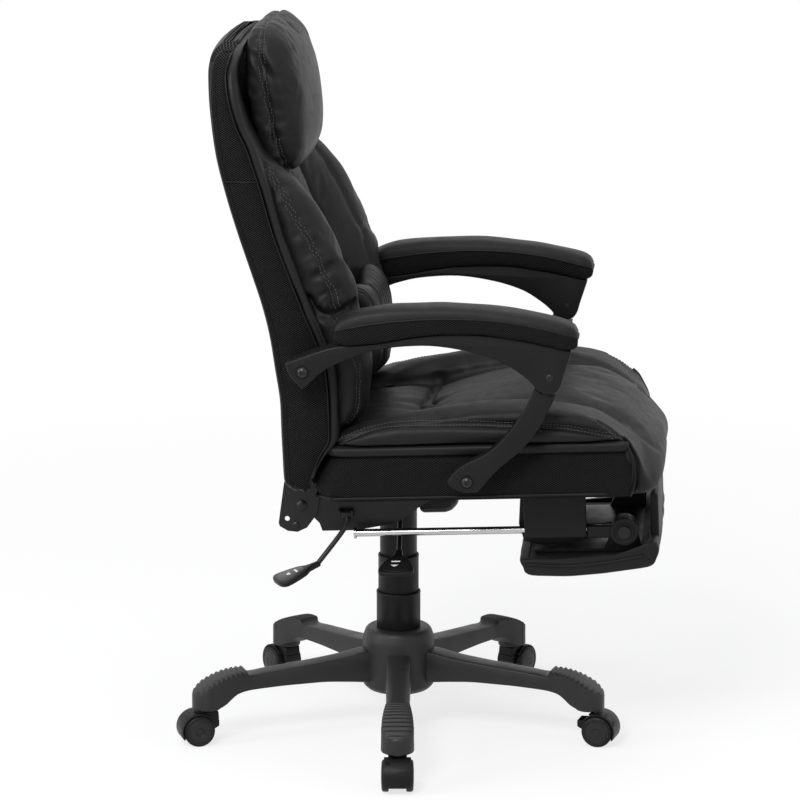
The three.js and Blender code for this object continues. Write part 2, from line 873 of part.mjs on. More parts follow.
// Axle or pin across the chair, with a domed head outside each bracket
function headedPin(radius, headRadius, headHeight, reach, x, z) {
  const inner = reach + gap;
  const outer = inner + headHeight;
  const pin = turned([
    [0, -outer], [headRadius / 2, -outer + headHeight / 5], [headRadius, -inner - headHeight / 4],
    [headRadius, -inner], [radius, -inner], [radius, inner], [headRadius, inner],
    [headRadius, inner + headHeight / 4], [headRadius / 2, outer - headHeight / 5], [0, outer],
  ], roundSteps);
  pin.rotateX(Math.PI / 2);
  pin.translate(x, 0, z);
  return pin;
}

function lockBar() {
  const half = lockBarWidth / 2;
  const eye = crosswise(lockEyeRadius, -half, half, lockPinX, lockPinZ, roundSteps);
  const bar = lengthwise(lockBarRadius, lockPinX, lockPinX + lockBarLength, 0, lockPinZ);
  const hole = crosswise(lockPinRadius + lockEyePlay, -half - overrun, half + overrun, lockPinX, lockPinZ, roundSteps);
  return cut(join(eye, bar), hole);
}

function lockBody() {
  const [x0, x1] = [panRear - gap - lockBodyLength, panRear - gap];
  const body = lengthwise(lockBodyRadius, x0, x1, 0, lockPinZ, roundSteps);
  const lug = block(flangeRear, x1, -lockBarRadius, lockBarRadius, lockPinZ, boardFloor - gap - sheetMetal - gap);
  const bore = lengthwise(lockBarRadius + gap, x0 - overrun, x1 - overrun, 0, lockPinZ, roundSteps);
  return cut(join(body, lug), bore);
}

function buildMechanism(group) {
  place('mechanism_housing', buildHousing(), paintedSteel(), group);
  place('tension_knob', buildKnob(), plastic(), group);
  const heightBarrel = new THREE.Vector3(heightLeverX, -panWidth / 2 - leverStandOff, heightLeverZ);
  const heightBend = heightBarrel.clone().add(new THREE.Vector3(0, -leverStandOff - leverRodRadius, -leverStandOff));
  const heightEnd = heightBarrel.clone().add(new THREE.Vector3(0, -heightLeverReach, -heightLeverDrop));
  const heightTip = heightEnd.clone().add(new THREE.Vector3(0, -paddleLength, -paddleLength / 4));
  place('height_lever', leverSolid(heightBarrel, [heightBend, heightEnd], heightTip), plastic(), group);
  const reclineBarrel = new THREE.Vector3(reclineLeverX, -plateOuter - leverStandOff, reclineLeverZ);
  const reclineBend = reclineBarrel.clone().add(new THREE.Vector3(0, -leverStandOff, -leverStandOff * 2));
  const sweep = new THREE.Vector3(-reclineLeverSweep, -reclineLeverReach, -reclineLeverDrop);
  const reclineEnd = reclineBarrel.clone().add(sweep);
  const reclineTip = reclineEnd.clone().add(new THREE.Vector3(-paddleLength, -paddleLength / 2, -paddleLength / 3));
  place('recline_lever', leverSolid(reclineBarrel, [reclineBend, reclineEnd], reclineTip), plastic(), group);
  for (const [name, side] of [['left', 1], ['right', -1]]) {
    place(`side_plate_${name}`, sidePlate(side), paintedSteel(), group);
    place(`back_bracket_${name}`, backBracket(side), paintedSteel(), group);
  }
  const hinge = headedPin(hingeRadius, hingeHeadRadius, hingeHeadHeight, bracketOuter, pivotX, pivotZ);
  place('hinge_axle', hinge, paintedSteel(), group);
  const lockHead = lockPinRadius + sheetMetal / 2;
  const pin = headedPin(lockPinRadius, lockHead, sheetMetal, bracketOuter, lockPinX, lockPinZ);
  place('lock_pin', pin, paintedSteel(), group);
  place('lock_bar', lockBar(), chrome(), group);
  place('lock_body', lockBody(), paintedSteel(), group);
}

// Seat
// Boxing rings, as shares: height, how far the sides and the rear stand in from their bulge
const boxingShares = [[0, 0.9, 0.3], [0.12, 0.3, 0.12], [0.36, 0, 0], [0.7, 0.2, 0.45], [1, 1, 1]];

function boxingSolid() {
  const length = boxingFront + seatRear;
  const rings = boxingShares.map(([share, inset, rearInset]) => {
    const spare = 2 * inset * boxingBulge;
    const rearSpare = rearInset * boxingRearSlope;
    const outline = roundedRectangle(length - rearSpare, seatWidth - spare, boxingCorner, 4);
    return outline.map((point) => new THREE.Vector3(
      point.x + (boxingFront - seatRear + rearSpare) / 2,
      point.y,
      boxingFloor + share * boxingHeight,
    ));
  });
  const [low, high] = [boxingFloor - overrun, boardFloor + boardThickness + gap];
  const half = boardWidth / 2 + gap;
  const [rear, front] = [-seatRear + boardInset - gap, boxingFront - boardFrontInset + gap];
  const recess = block(rear, front, -half, half, low, high);
  return cut(loft(rings), recess);
}

// Seat cushion stations, all as shares: along the seat (0 to 1 above the boxing, 1 to 2 in
// front of it), width, floor of the front roll, height of the side bolsters and of the middle
const seatShares = [
  [0, 0.9, 1, 0.28, 0.25],
  [0.023, 0.955, 1, 0.4, 0.28],
  [0.068, 0.985, 1, 0.52, 0.32],
  [0.135, 1, 1, 0.67, 0.36],
  [0.214, 1, 1, 0.79, 0.36],
  [0.293, 1, 1, 0.88, 0.3],
  [0.316, 1, 1, 0.9, 0.22],
  [0.338, 1, 1, 0.91, 0.34],
  [0.429, 1, 1, 0.96, 0.54],
  [0.564, 1, 1, 1, 0.72],
  [0.677, 1, 1, 0.96, 0.81],
  [0.79, 1, 1, 0.86, 0.81],
  [0.891, 1, 1, 0.69, 0.74],
  [0.959, 1, 1, 0.44, 0.6],
  [1, 0.995, 1, 0.22, 0.46],
  [1.055, 0.99, 0.02, 0.17, 0.42],
  [1.295, 0.985, 0, -0.04, 0.25],
  [1.515, 0.96, 0, -0.25, 0.04],
  [1.69, 0.92, 0.02, -0.4, -0.12],
  [1.84, 0.82, 0.13, -0.5, -0.32],
  [1.94, 0.66, 0.28, -0.54, -0.46],
  [2, 0.45, 0.4, -0.56, -0.54],
];

// Across the cushion, from the middle to one side, as shares of the half width, with the
// height between the middle panel (0) and the bolster (1), and how deep a sewn channel cuts
const seatAcross = [
  [0, 0, 0], [0.22, 0, 0], [0.42, 0.02, 0.02], [0.54, 0.08, 0.1], [0.6, 0.3, 0.16],
  [0.66, 0.74, 0.02], [0.76, 0.97, 0], [0.85, 1, 0], [0.94, 0.86, 0], [0.985, 0.62, 0],
];

const cushionFloor = boxingFloor + boxingHeight + gap;

function seatCushion() {
  const start = -seatRear + boxingRearSlope + 2 * sheetMetal;
  const rollStart = boxingFront + gap;
  const half = seatWidth / 2;
  const rings = seatShares.map(([share, width, floorShare, bolster, middle]) => {
    const x = share > 1
      ? rollStart + (share - 1) * (seatFront - rollStart)
      : start + share * (rollStart - start);
    const floor = boxingFloor + floorShare * (cushionFloor - boxingFloor);
    const bolsterTop = cushionFloor + bolster * crownRise;
    const middleTop = cushionFloor + middle * crownRise;
    const side = [];
    for (const [across, blend, channel] of seatAcross) {
      const top = THREE.MathUtils.lerp(middleTop, bolsterTop, blend) - channel * crownRise;
      side.push([across * width * half, Math.max(top, floor + sheetMetal)]);
    }
    const outer = Math.max(THREE.MathUtils.lerp(middleTop, bolsterTop, 0.62), floor + sheetMetal);
    side.push([width * half, floor + (outer - floor) * 0.7]);
    side.push([width * half - boxingBulge / 2, floor + (outer - floor) * 0.36]);
    side.push([width * half - boxingBulge / 4, floor + (outer - floor) * 0.14]);
    side.push([width * half - boxingBulge / 2, floor]);
    const left = side.map(([y, z]) => new THREE.Vector3(x, y, z));
    const right = side.slice(1).reverse().map(([y, z]) => new THREE.Vector3(x, -y, z));
    return [...left, ...right];
  });
  return loft(rings);
}

function buildSeat(group) {
  const half = boardWidth / 2;
  const rear = -seatRear + boardInset;
  const front = boxingFront - boardFrontInset;
  const top = boardFloor + boardThickness;
  place('seat_board', block(rear, front, -half, half, boardFloor, top), board(), group);
  place('seat_boxing', boxingSolid(), meshFabric(), group);
  place('seat_cushion', seatCushion(), leather(), group);
}

// Back
// Shell stations, all as shares: height, lean to the rear, thickness, width
const shellShares = [
  [0, -0.144, 0.256, 0.955], [0.009, -0.063, 0.423, 0.975], [0.028, 0, 0.526, 1],
  [0.082, 0.018, 0.731, 1], [0.13, 0.032, 0.955, 1], [0.199, 0.045, 0.962, 1],
  [0.285, 0.117, 1, 1], [0.36, 0.189, 0.885, 1], [0.422, 0.279, 0.782, 1],
  [0.505, 0.441, 0.731, 1], [0.594, 0.622, 0.705, 1], [0.678, 0.775, 0.718, 1],
  [0.77, 0.91, 0.654, 0.995], [0.836, 0.964, 0.474, 0.985], [0.901, 0.995, 0.365, 0.965],
  [0.945, 1, 0.321, 0.92], [0.974, 0.975, 0.32, 0.84], [0.991, 0.91, 0.26, 0.7],
  [1, 0.82, 0.15, 0.5],
];

// Rear face, front face and half width of the shell at a height
function shellAt(z) {
  const share = (z - backFoot) / backHeight;
  const rear = -backRear - along(shellShares, share, 1) * backLean;
  const front = rear + along(shellShares, share, 2) * shellThickness;
  return { rear, front, half: along(shellShares, share, 3) * backWidth / 2 };
}

// How far the shell is hollowed towards the rear at a place across it
function hollowAt(y) {
  return shellHollow * (1 - (2 * y / backWidth) ** 2);
}

const shellAcross = [-1, -0.86, -0.6, -0.3, 0, 0.3, 0.6, 0.86, 1];

function shellBody() {
  const rings = shellShares.map(([share]) => {
    const z = backFoot + share * backHeight;
    const { rear, front, half } = shellAt(z);
    const corner = Math.min(shellCorner, (front - rear) / 3);
    const face = (x, inset) => shellAcross.map((across) => {
      const y = across * (half - inset);
      const pull = Math.abs(across) < 1 ? 0 : inset;
      return [x, y, pull];
    });
    const ring = [];
    for (const [x, y] of face(rear, corner)) {
      ring.push(new THREE.Vector3(x - hollowAt(y), y, z));
    }
    ring.push(new THREE.Vector3(rear + corner, half, z));
    ring.push(new THREE.Vector3(front - corner / 2, half, z));
    for (const [x, y] of face(front, corner / 2).reverse()) {
      ring.push(new THREE.Vector3(x - hollowAt(y), y, z));
    }
    ring.push(new THREE.Vector3(front - corner / 2, -half, z));
    ring.push(new THREE.Vector3(rear + corner, -half, z));
    return ring;
  });
  return loft(rings);
}

function shellSolid() {
  const pockets = [-1, 1].map((side) => {
    const pocket = slab(bracketOutline(2 * gap), sheetMetal + 4 * gap, side * (bracketInner + sheetMetal / 2));
    pocket.rotateY(-radians(seatAngleDegrees));
    pocket.translate(0, 0, seatDatum);
    return pocket;
  });
  return cut(shellBody(), ...pockets);
}

// Back cushion stations, as shares: height up the back, reach of the bolsters and of the
// middle panel in front of the shell, and width of the bolsters
const backShares = [
  [0.13, 0.14, 0.1, 0.88], [0.149, 0.32, 0.18, 0.93], [0.179, 0.46, 0.26, 0.95],
  [0.199, 0.48, 0.28, 0.955], [0.231, 0.5, 0.3, 0.96], [0.285, 0.55, 0.32, 0.97],
  [0.32, 0.575, 0.32, 0.97], [0.36, 0.595, 0.32, 0.97], [0.422, 0.66, 0.33, 0.97],
  [0.473, 0.72, 0.36, 0.97], [0.505, 0.71, 0.36, 0.97], [0.55, 0.695, 0.36, 0.97],
  [0.594, 0.66, 0.35, 0.965], [0.646, 0.58, 0.32, 0.955], [0.678, 0.485, 0.29, 0.945],
  [0.698, 0.42, 0.27, 0.94], [0.732, 0.26, 0.2, 0.93], [0.77, 0.14, 0.14, 0.93],
  [0.836, 0.12, 0.12, 0.93], [0.901, 0.115, 0.115, 0.93], [0.945, 0.11, 0.11, 0.93],
  [0.974, 0.1, 0.1, 0.92], [0.991, 0.06, 0.06, 0.88],
  [0.9955, 0.05, 0.05, 0.3],
];

// Across the back cushion, from the middle to one side: place, height between the middle
// panel (0) and the bolster (1), and depth of a sewn channel
const backAcross = [
  [0, 0, 0], [0.14, 0, 0], [0.25, 0.02, 0.03], [0.3, 0.05, 0.09], [0.35, 0.12, 0.03],
  [0.5, 0.4, 0], [0.62, 0.72, 0], [0.73, 0.95, 0], [0.81, 1, 0], [0.88, 0.82, 0],
  [0.94, 0.48, 0], [0.985, 0.15, 0],
];

function backCushion() {
  const rings = backShares.map(([share, bolster, middle, width]) => {
    const z = backFoot + share * backHeight;
    const { front, half } = shellAt(z);
    const bolsterHalf = width * (half - bolsterSetIn / 2);
    const welt = Math.min(weltDepth, bolster * backCushionReach * 0.8);
    const weltHalf = (half - shellCorner / 2) * Math.min(1, width / weltWidthShare);
    const side = [];
    for (const [across, blend, channel] of backAcross) {
      const y = across * bolsterHalf;
      const reach = THREE.MathUtils.lerp(middle, bolster, blend) * backCushionReach;
      side.push([front + Math.max(reach - channel * backCushionReach, gap + 1.5 * gap) - hollowAt(y), y]);
    }
    const flank = welt + (bolster * backCushionReach - welt) * 0.3;
    side.push([front + flank - hollowAt(bolsterHalf), bolsterHalf]);
    side.push([front + welt - hollowAt(bolsterHalf - weltStep), Math.min(bolsterHalf, weltHalf) - weltStep / 2]);
    side.push([front + welt * 0.9, weltHalf - gap]);
    const back = shellAcross.filter((across) => across > 0).reverse().map((across) => {
      const y = across * weltHalf;
      return [front + gap - hollowAt(y), y];
    });
    side.push(...back);
    const left = side.map(([x, y]) => new THREE.Vector3(x, y, z));
    const rearMiddle = new THREE.Vector3(front + gap - hollowAt(0), 0, z);
    const right = side.slice(1).reverse().map(([x, y]) => new THREE.Vector3(x, -y, z));
    return [...left, rearMiddle, ...right];
  });
  return loft(rings);
}

// Pillow stations across the chair, from one end to the other: place, size of the section
const headrestShares = [
  [-1, 0.34], [-0.985, 0.56], [-0.94, 0.76], [-0.86, 0.89], [-0.72, 0.97], [-0.4, 1],
  [0, 1], [0.4, 1], [0.72, 0.97], [0.86, 0.89], [0.94, 0.76], [0.985, 0.56], [1, 0.34],
];

// Round pillow section: squarer behind, fuller in front
function pillowRing(height, thickness, steps) {
  const ring = [];
  for (let i = 0; i < steps; i += 1) {
    const angle = i / steps * 2 * Math.PI;
    const [cos, sin] = [Math.cos(angle), Math.sin(angle)];
    const reach = cos > 0 ? 0.62 : 0.38;
    const z = Math.sign(sin) * Math.abs(sin) ** 0.85 * height / 2;
    ring.push([cos * reach * thickness, z]);
  }
  return ring;
}

function headrest() {
  const tilt = radians(headrestTiltDegrees);
  const { front } = shellAt(headrestZ);
  const behind = front + 0.12 * backCushionReach + headrestThickness * 0.38 - hollowAt(headrestWidth / 2);
  const rings = headrestShares.map(([across, size]) => {
    const y = across * headrestWidth / 2;
    const slack = (1 - Math.abs(across) ** 2) * headrestThickness / 8;
    const section = pillowRing(headrestHeight * size, headrestThickness * Math.sqrt(size), roundSteps);
    return section.map(([x, z]) => new THREE.Vector3(x + (x > 0 ? slack : 0), y, z));
  });
  const pillow = loft(rings);
  pillow.rotateY(-tilt);
  pillow.translate(behind + headrestThickness / 12, 0, headrestZ);
  return pillow;
}

const lumbarShares = [
  [-1, 0.5], [-0.97, 0.76], [-0.88, 0.93], [-0.7, 1], [-0.45, 0.9], [-0.2, 0.74],
  [0, 0.68], [0.2, 0.74], [0.45, 0.9], [0.7, 1], [0.88, 0.93], [0.97, 0.76], [1, 0.5],
];

function lumbarPillow() {
  const { front } = shellAt(lumbarZ);
  const rings = lumbarShares.map(([across, size]) => {
    const y = across * lumbarWidth / 2;
    const section = pillowRing(lumbarHeight * size, lumbarThickness * Math.sqrt(size), smallSteps + 2);
    return section.map(([x, z]) => new THREE.Vector3(x, y, z));
  });
  const pillow = loft(rings);
  pillow.rotateY(-radians(lumbarTiltDegrees));
  const seatedOn = front + 0.36 * backCushionReach - shellHollow * 0.8;
  pillow.translate(seatedOn + lumbarThickness * 0.52, 0, lumbarZ);
  return pillow;
}

function buildBack(group) {
  place('back_shell', shellSolid(), meshFabric(), group);
  const seat = seatCushion().translate(-cushionGap / 2, 0, cushionGap);
  seat.rotateY(-radians(seatAngleDegrees)).translate(0, 0, seatDatum);
  const pillows = [headrest(), lumbarPillow()].map((pillow) => swollen(pillow, 2 * gap));
  place('back_cushion', cut(backCushion(), seat, ...pillows), leather(), group);
  place('headrest_pillow', headrest(), leather(), group);
  place('lumbar_pillow', lumbarPillow(), leather(), group);
}

// Arms
// Side outline of the arm from its rear pivot, as shares of the arm's length and depth
const armShares = [
  [-0.062, 0.143], [0.044, 0.341], [0.131, 0.458], [0.228, 0.491], [0.313, 0.568],
  [0.446, 0.667], [0.572, 0.695], [0.71, 0.656], [0.837, 0.546], [0.938, 0.447],
  [0.926, 0.264], [0.91, 0.022], [0.899, -0.154], [0.88, -0.264], [0.848, -0.297],
  [0.821, -0.242], [0.798, -0.11], [0.759, 0.044], [0.69, 0.242], [0.584, 0.396],
  [0.446, 0.484], [0.306, 0.44], [0.218, 0.341], [0.172, 0.253], [0.08, 0.044],
  [0, -0.308], [-0.044, -0.077],
];

// Side outline of the post from the seat pivot, as shares of its run and rise to the pin
const postShares = [
  [-0.152, 0.09], [-0.248, 0], [-0.184, -0.06], [-0.04, -0.102], [0.136, -0.09],
  [0.328, 0.084], [0.472, 0.186], [0.672, 0.317], [0.872, 0.515], [1, 0.707], [1.072, 0.825],
  [0.808, 0.885], [0.752, 0.778], [0.624, 0.599], [0.424, 0.401], [0.216, 0.263],
  [-0.04, 0.162],
];

// Arm pad stations, as shares: along, top, underside
const armPadShares = [
  [0, 0.406, 0.203], [0.016, 0.625, 0.062], [0.06, 0.797, 0.009], [0.141, 0.922, 0.047],
  [0.276, 0.984, 0.188], [0.439, 1, 0.308], [0.602, 0.969, 0.328], [0.764, 0.859, 0.234],
  [0.886, 0.703, 0.094], [0.954, 0.562, 0.016], [0.986, 0.391, 0.047], [1, 0.203, 0.125],
];

const armCentre = armSpacing / 2;
const armInner = armCentre - armWidth / 2;
const armOuter = armCentre + armWidth / 2;
const mouthRadius = postLugRadius + postPlay + gap;
const mouthReach = 27;
const mouthStartDegrees = -136;
const mouthEndDegrees = -44;

function mirrored(geometry, side) {
  return side > 0 ? geometry : tidy(geometry.clone().scale(1, -1, 1));
}

function armFrame() {
  const outline = armShares.map(([x, z]) => [rearPivotX + x * armLength, rearPivotZ + z * armDepth]);
  const body = slab(outline, armWidth, armCentre, armBevel);
  const bossInner = backWidth / 2 + gap;
  const boss = crosswise(armBoltHeadRadius + armBevel, bossInner, armInner + armBevel, rearPivotX, rearPivotZ, roundSteps);
  const slotWidth = postWidth + 2 * gap;
  const [slot0, slot1] = [armCentre - slotWidth / 2, armCentre + slotWidth / 2];
  const round = crosswise(mouthRadius, slot0, slot1, postPivotX, postPivotZ, roundSteps);
  const fan = [[postPivotX, postPivotZ + postLugRadius]];
  for (let i = 0; i <= 6; i += 1) {
    const angle = radians(mouthStartDegrees + (mouthEndDegrees - mouthStartDegrees) * i / 6);
    const reach = mouthReach + 2 * overrun;
    fan.push([postPivotX + reach * Math.cos(angle), postPivotZ + reach * Math.sin(angle)]);
  }
  const mouth = slab(fan, slotWidth, armCentre);
  const boltHole = crosswise(armBoltRadius + gap, bossInner - overrun, armOuter + overrun, rearPivotX, rearPivotZ);
  const pinHole = crosswise(postPinRadius + gap, armInner - overrun, armOuter + overrun, postPivotX, postPivotZ);
  return cut(join(body, boss), round, mouth, boltHole, pinHole);
}

function armPad() {
  const rings = armPadShares.map(([share, top, under]) => {
    const x = rearPivotX + armPadStart + share * armPadLength;
    const low = rearPivotZ + armPadRise + under * armPadDepth;
    const high = rearPivotZ + armPadRise + top * armPadDepth;
    const end = Math.min(1, 0.62 + 6 * Math.min(share, 1 - share));
    const half = armPadWidth / 2 * end;
    const height = high - low;
    const ring = [[half * 0.8, 0], [half, 0.22], [half, 0.62], [half * 0.88, 0.86], [half * 0.5, 0.98]];
    const points = [...ring, ...ring.slice().reverse().map(([y, z]) => [-y, z])];
    return points.map(([y, z]) => new THREE.Vector3(x, armCentre + y, low + z * height));
  });
  return cut(loft(rings), armTopCutter());
}

// Everything under the arm's top line, which the pad's underside follows at a gap
function armTopCutter() {
  const top = armShares.slice(1, 10).map(([x, z]) => [rearPivotX + x * armLength, rearPivotZ + z * armDepth + gap]);
  const low = rearPivotZ - armDepth / 2;
  const outline = [[top[0][0], low], ...top, [top.at(-1)[0], low]];
  return slab(outline.reverse(), armWidth + armPadWidth, armCentre);
}

function armPost() {
  const run = postPivotX - seatPivotX;
  const rise = postPivotZ - seatPivotZ;
  const outline = postShares.map(([x, z]) => [seatPivotX + x * run, seatPivotZ + z * rise]);
  const [y0, y1] = [armCentre - postWidth / 2, armCentre + postWidth / 2];
  const strut = slab(outline, postWidth, armCentre, armBevel);
  const shoulder = crosswise(mouthReach + postPlay, y0 - overrun, y1 + overrun, postPivotX, postPivotZ, roundSteps);
  const lug = crosswise(postLugRadius, y0, y1, postPivotX, postPivotZ, roundSteps);
  const lean = radians(12);
  const neckLength = mouthReach + 2 * postPlay;
  const neck = block(-postNeckWidth / 2, postNeckWidth / 2, y0, y1, -neckLength, 0);
  neck.rotateY(lean);
  neck.translate(postPivotX, 0, postPivotZ);
  const bossInner = seatWidth / 2 + gap;
  const boss = crosswise(armBoltHeadRadius + armBevel, bossInner, y0 + armBevel, seatPivotX, seatPivotZ, roundSteps);
  const pinHole = crosswise(postPinRadius + postPlay, y0 - overrun, y1 + overrun, postPivotX, postPivotZ, roundSteps);
  const boltHole = crosswise(armBoltRadius + gap, bossInner - overrun, y1 + overrun, seatPivotX, seatPivotZ);
  return cut(join(cut(strut, shoulder), lug, neck, boss), pinHole, boltHole);
}

// Bolt from the side of the chair: shank from an inner face, domed head outside an outer face
function armBolt(inner, outer, radius, headRadius, headHeight, x, z) {
  const bolt = turned([
    [0, inner], [radius, inner], [radius, outer + gap], [headRadius, outer + gap],
    [headRadius, outer + gap + headHeight / 4], [headRadius / 2, outer + gap + headHeight * 0.8],
    [0, outer + gap + headHeight],
  ], roundSteps);
  bolt.rotateX(-Math.PI / 2);
  bolt.translate(x, 0, z);
  return bolt;
}

function buildArms(group) {
  for (const [name, side] of [['left', 1], ['right', -1]]) {
    place(`arm_frame_${name}`, mirrored(armFrame(), side), plastic(), group);
    place(`arm_pad_${name}`, mirrored(armPad(), side), leather(), group);
    place(`arm_post_${name}`, mirrored(armPost(), side), plastic(), group);
    const heads = [armBoltHeadRadius, armBoltHeadHeight];
    const rear = armBolt(backWidth / 2 + gap, armOuter, armBoltRadius, ...heads, rearPivotX, rearPivotZ);
    place(`arm_rear_bolt_${name}`, mirrored(rear, side), plastic(), group);
    const postOuter = armCentre + postWidth / 2;
    const seatBolt = armBolt(seatWidth / 2 + gap, postOuter, armBoltRadius, ...heads, seatPivotX, seatPivotZ);
    place(`arm_seat_bolt_${name}`, mirrored(seatBolt, side), plastic(), group);
    const pinHeads = [postPinRadius * 1.6, postPinRadius / 2];
    const pin = armBolt(armInner, armOuter, postPinRadius, ...pinHeads, postPivotX, postPivotZ);
    place(`arm_pin_${name}`, mirrored(pin, side), paintedSteel(), group);
  }
}

// Footrest
function guideBlock() {
  const centre = rodSpacing / 2;
  const [y0, y1] = [centre - guideWidth / 2, centre + guideWidth / 2];
  const top = boardFloor - gap;
  const body = block(guideRear, guideRear + guideLength, y0, y1, guideFloor, top);
  const bore = lengthwise(rodRadius + gap, guideRear - overrun, guideRear + guideLength + overrun, centre, rodZ, roundSteps);
  return cut(body, bore);
}

function slideRod() {
  const centre = rodSpacing / 2;
  const rod = lengthwise(rodRadius, rodRear, rodRear + rodLength + eyeWidth, centre, rodZ, roundSteps);
  const stop = lengthwise(rodStopRadius, rodRear, rodRear + rodStopThickness, centre, rodZ, roundSteps);
  return join(rod, stop);
}

// Cheek behind the guide, from the eye towards the rear, as shares of its length and depth
const cheekShares = [
  [0, 0.02], [-0.216, 0.05], [-0.463, -0.06], [-0.772, -0.13], [-0.975, -0.04], [-1.02, 0.33],
  [-1, 0.87], [-0.833, 1], [-0.45, 0.34], [0, 0.34],
];

function eyeArm() {
  const centre = rodSpacing / 2;
  const inner = centre - guideWidth / 2 - gap * 6 - cheekThickness;
  const outer = centre + eyeWidth / 2;
  const barRear = guideRear + guideLength + gap * 2;
  const bar = block(barRear, eyeX, centre - armBarWidth / 2, centre + armBarWidth / 2, eyeZ - armBarDepth / 2, eyeZ + armBarDepth / 2);
  const eye = crosswise(eyeRadius, inner, outer, eyeX, eyeZ, fineSteps);
  const cheekOutline = cheekShares.map(([x, z]) => [eyeX + x * cheekLength, eyeZ + (z - 0.2) * cheekDepth]);
  const cheek = slab(cheekOutline.reverse(), cheekThickness, inner + cheekThickness / 2);
  const rodBore = lengthwise(rodRadius + gap, barRear - overrun, rodRear + rodLength + eyeWidth + gap, centre, rodZ, roundSteps);
  const pinBore = crosswise(eyePinRadius + gap, inner - overrun, outer + overrun, eyeX, eyeZ, roundSteps);
  return cut(join(bar, eye, cheek), rodBore, pinBore);
}

const cavityFloor = trayFloor + trayCavityDepth - 2 * gap;
const earOuter = rodSpacing / 2 - guideWidth / 2 - gap * 6 - cheekThickness - gap;

function footrestFrame() {
  const [rear, front] = [trayRear + 2 * trayWall, trayRear + trayLength - 2 * lipThickness];
  const [low, high] = [cavityFloor + gap, cavityFloor + gap + frameThickness];
  const plate = block(rear, front, -earOuter, earOuter, low, high);
  const pieces = [plate];
  for (const side of [-1, 1]) {
    const [inner, outer] = [earOuter - frameEarThickness, earOuter];
    const half = eyeRadius - frameThickness;
    const outline = [
      [eyeX - 2 * half, low + frameThickness / 2], [front, low + frameThickness / 2],
      [eyeX + half, eyeZ], [eyeX, eyeZ + half], [eyeX - half, eyeZ],
    ];
    pieces.push(slab(outline, frameEarThickness, side * (inner + outer) / 2));
    const head = rodSpacing / 2 + eyeWidth / 2 + gap;
    const [shank0, shank1] = [side * (inner + gap), side * (head + eyeHeadHeight)];
    pieces.push(crosswise(eyePinRadius, Math.min(shank0, shank1), Math.max(shank0, shank1), eyeX, eyeZ, roundSteps));
    const [head0, head1] = [side * head, side * (head + eyeHeadHeight)];
    pieces.push(crosswise(eyeHeadRadius, Math.min(head0, head1), Math.max(head0, head1), eyeX, eyeZ, roundSteps));
  }
  return join(...pieces);
}

// Side outline of the pad as shares: along from its rear, up from its floor to its wall's top
const traySide = [
  [0, 0.56], [0, 0.3], [0.06, 0.05], [0.36, 0], [0.62, 0.08], [0.92, 0.24], [0.985, 0.5],
  [1, 0.82], [0.95, 1], [0.79, 0.72], [0.26, 0.56],
];

// Stations across the pad: place, how much of the outline is left there
const trayAcross = [
  [-1, 0.9], [-0.97, 0.985], [-0.85, 1], [0, 1.02], [0.85, 1], [0.97, 0.985], [1, 0.9],
];

function footrestPad() {
  const middleX = trayRear + trayLength / 2;
  const middleZ = trayFloor + trayWallHeight / 2;
  const rings = trayAcross.map(([across, size]) => traySide.map(([x, z]) => new THREE.Vector3(
    middleX + (trayRear + x * trayLength - middleX) * size,
    across * trayWidth / 2,
    middleZ + (trayFloor + z * trayWallHeight - middleZ) * size,
  )));
  const half = trayWidth / 2 - trayWall;
  const [rear, front] = [trayRear + trayWall, trayRear + trayLength - lipThickness - gap];
  const cavity = block(rear, front, -half, half, cavityFloor, 0);
  const lipFront = trayRear + trayLength;
  const bevel = lipThickness / 3;
  const lip = slab([
    [lipFront - lipThickness, cavityFloor - overrun], [lipFront - bevel / 2, cavityFloor - overrun],
    [lipFront, cavityFloor + 2 * overrun], [lipFront, lipTop - bevel], [lipFront - bevel, lipTop],
    [lipFront - lipThickness + bevel, lipTop], [lipFront - lipThickness, lipTop - bevel],
  ], lipWidth);
  return join(cut(loft(rings), cavity), lip);
}

function buildFootrest(group) {
  for (const [name, side] of [['left', 1], ['right', -1]]) {
    place(`guide_${name}`, mirrored(guideBlock(), side), plastic(), group);
    place(`slide_rod_${name}`, mirrored(slideRod(), side), chrome(), group);
    place(`eye_arm_${name}`, mirrored(eyeArm(), side), plastic(), group);
  }
  place('footrest_frame', footrestFrame(), paintedSteel(), group);
  place('footrest_pad', footrestPad(), leather(), group);
}

buildBase(chair);
buildCasters(chair);
buildColumn(chair);
buildMechanism(seatGroup);
buildSeat(seatGroup);
buildBack(chair);
buildArms(chair);
buildFootrest(seatGroup);

// The chair is moved so that the origin is in the middle of its outline, on the floor
const outlineBox = new THREE.Box3().setFromObject(chair);
const middle = outlineBox.getCenter(new THREE.Vector3());
chair.position.set(-middle.x, -middle.y, -outlineBox.min.z);

const part = new THREE.Group();
part.add(chair);

export default part;
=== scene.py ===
import json
import math

import bpy
import numpy as np
from mathutils import Matrix, Vector, noise
from mathutils.bvhtree import BVHTree

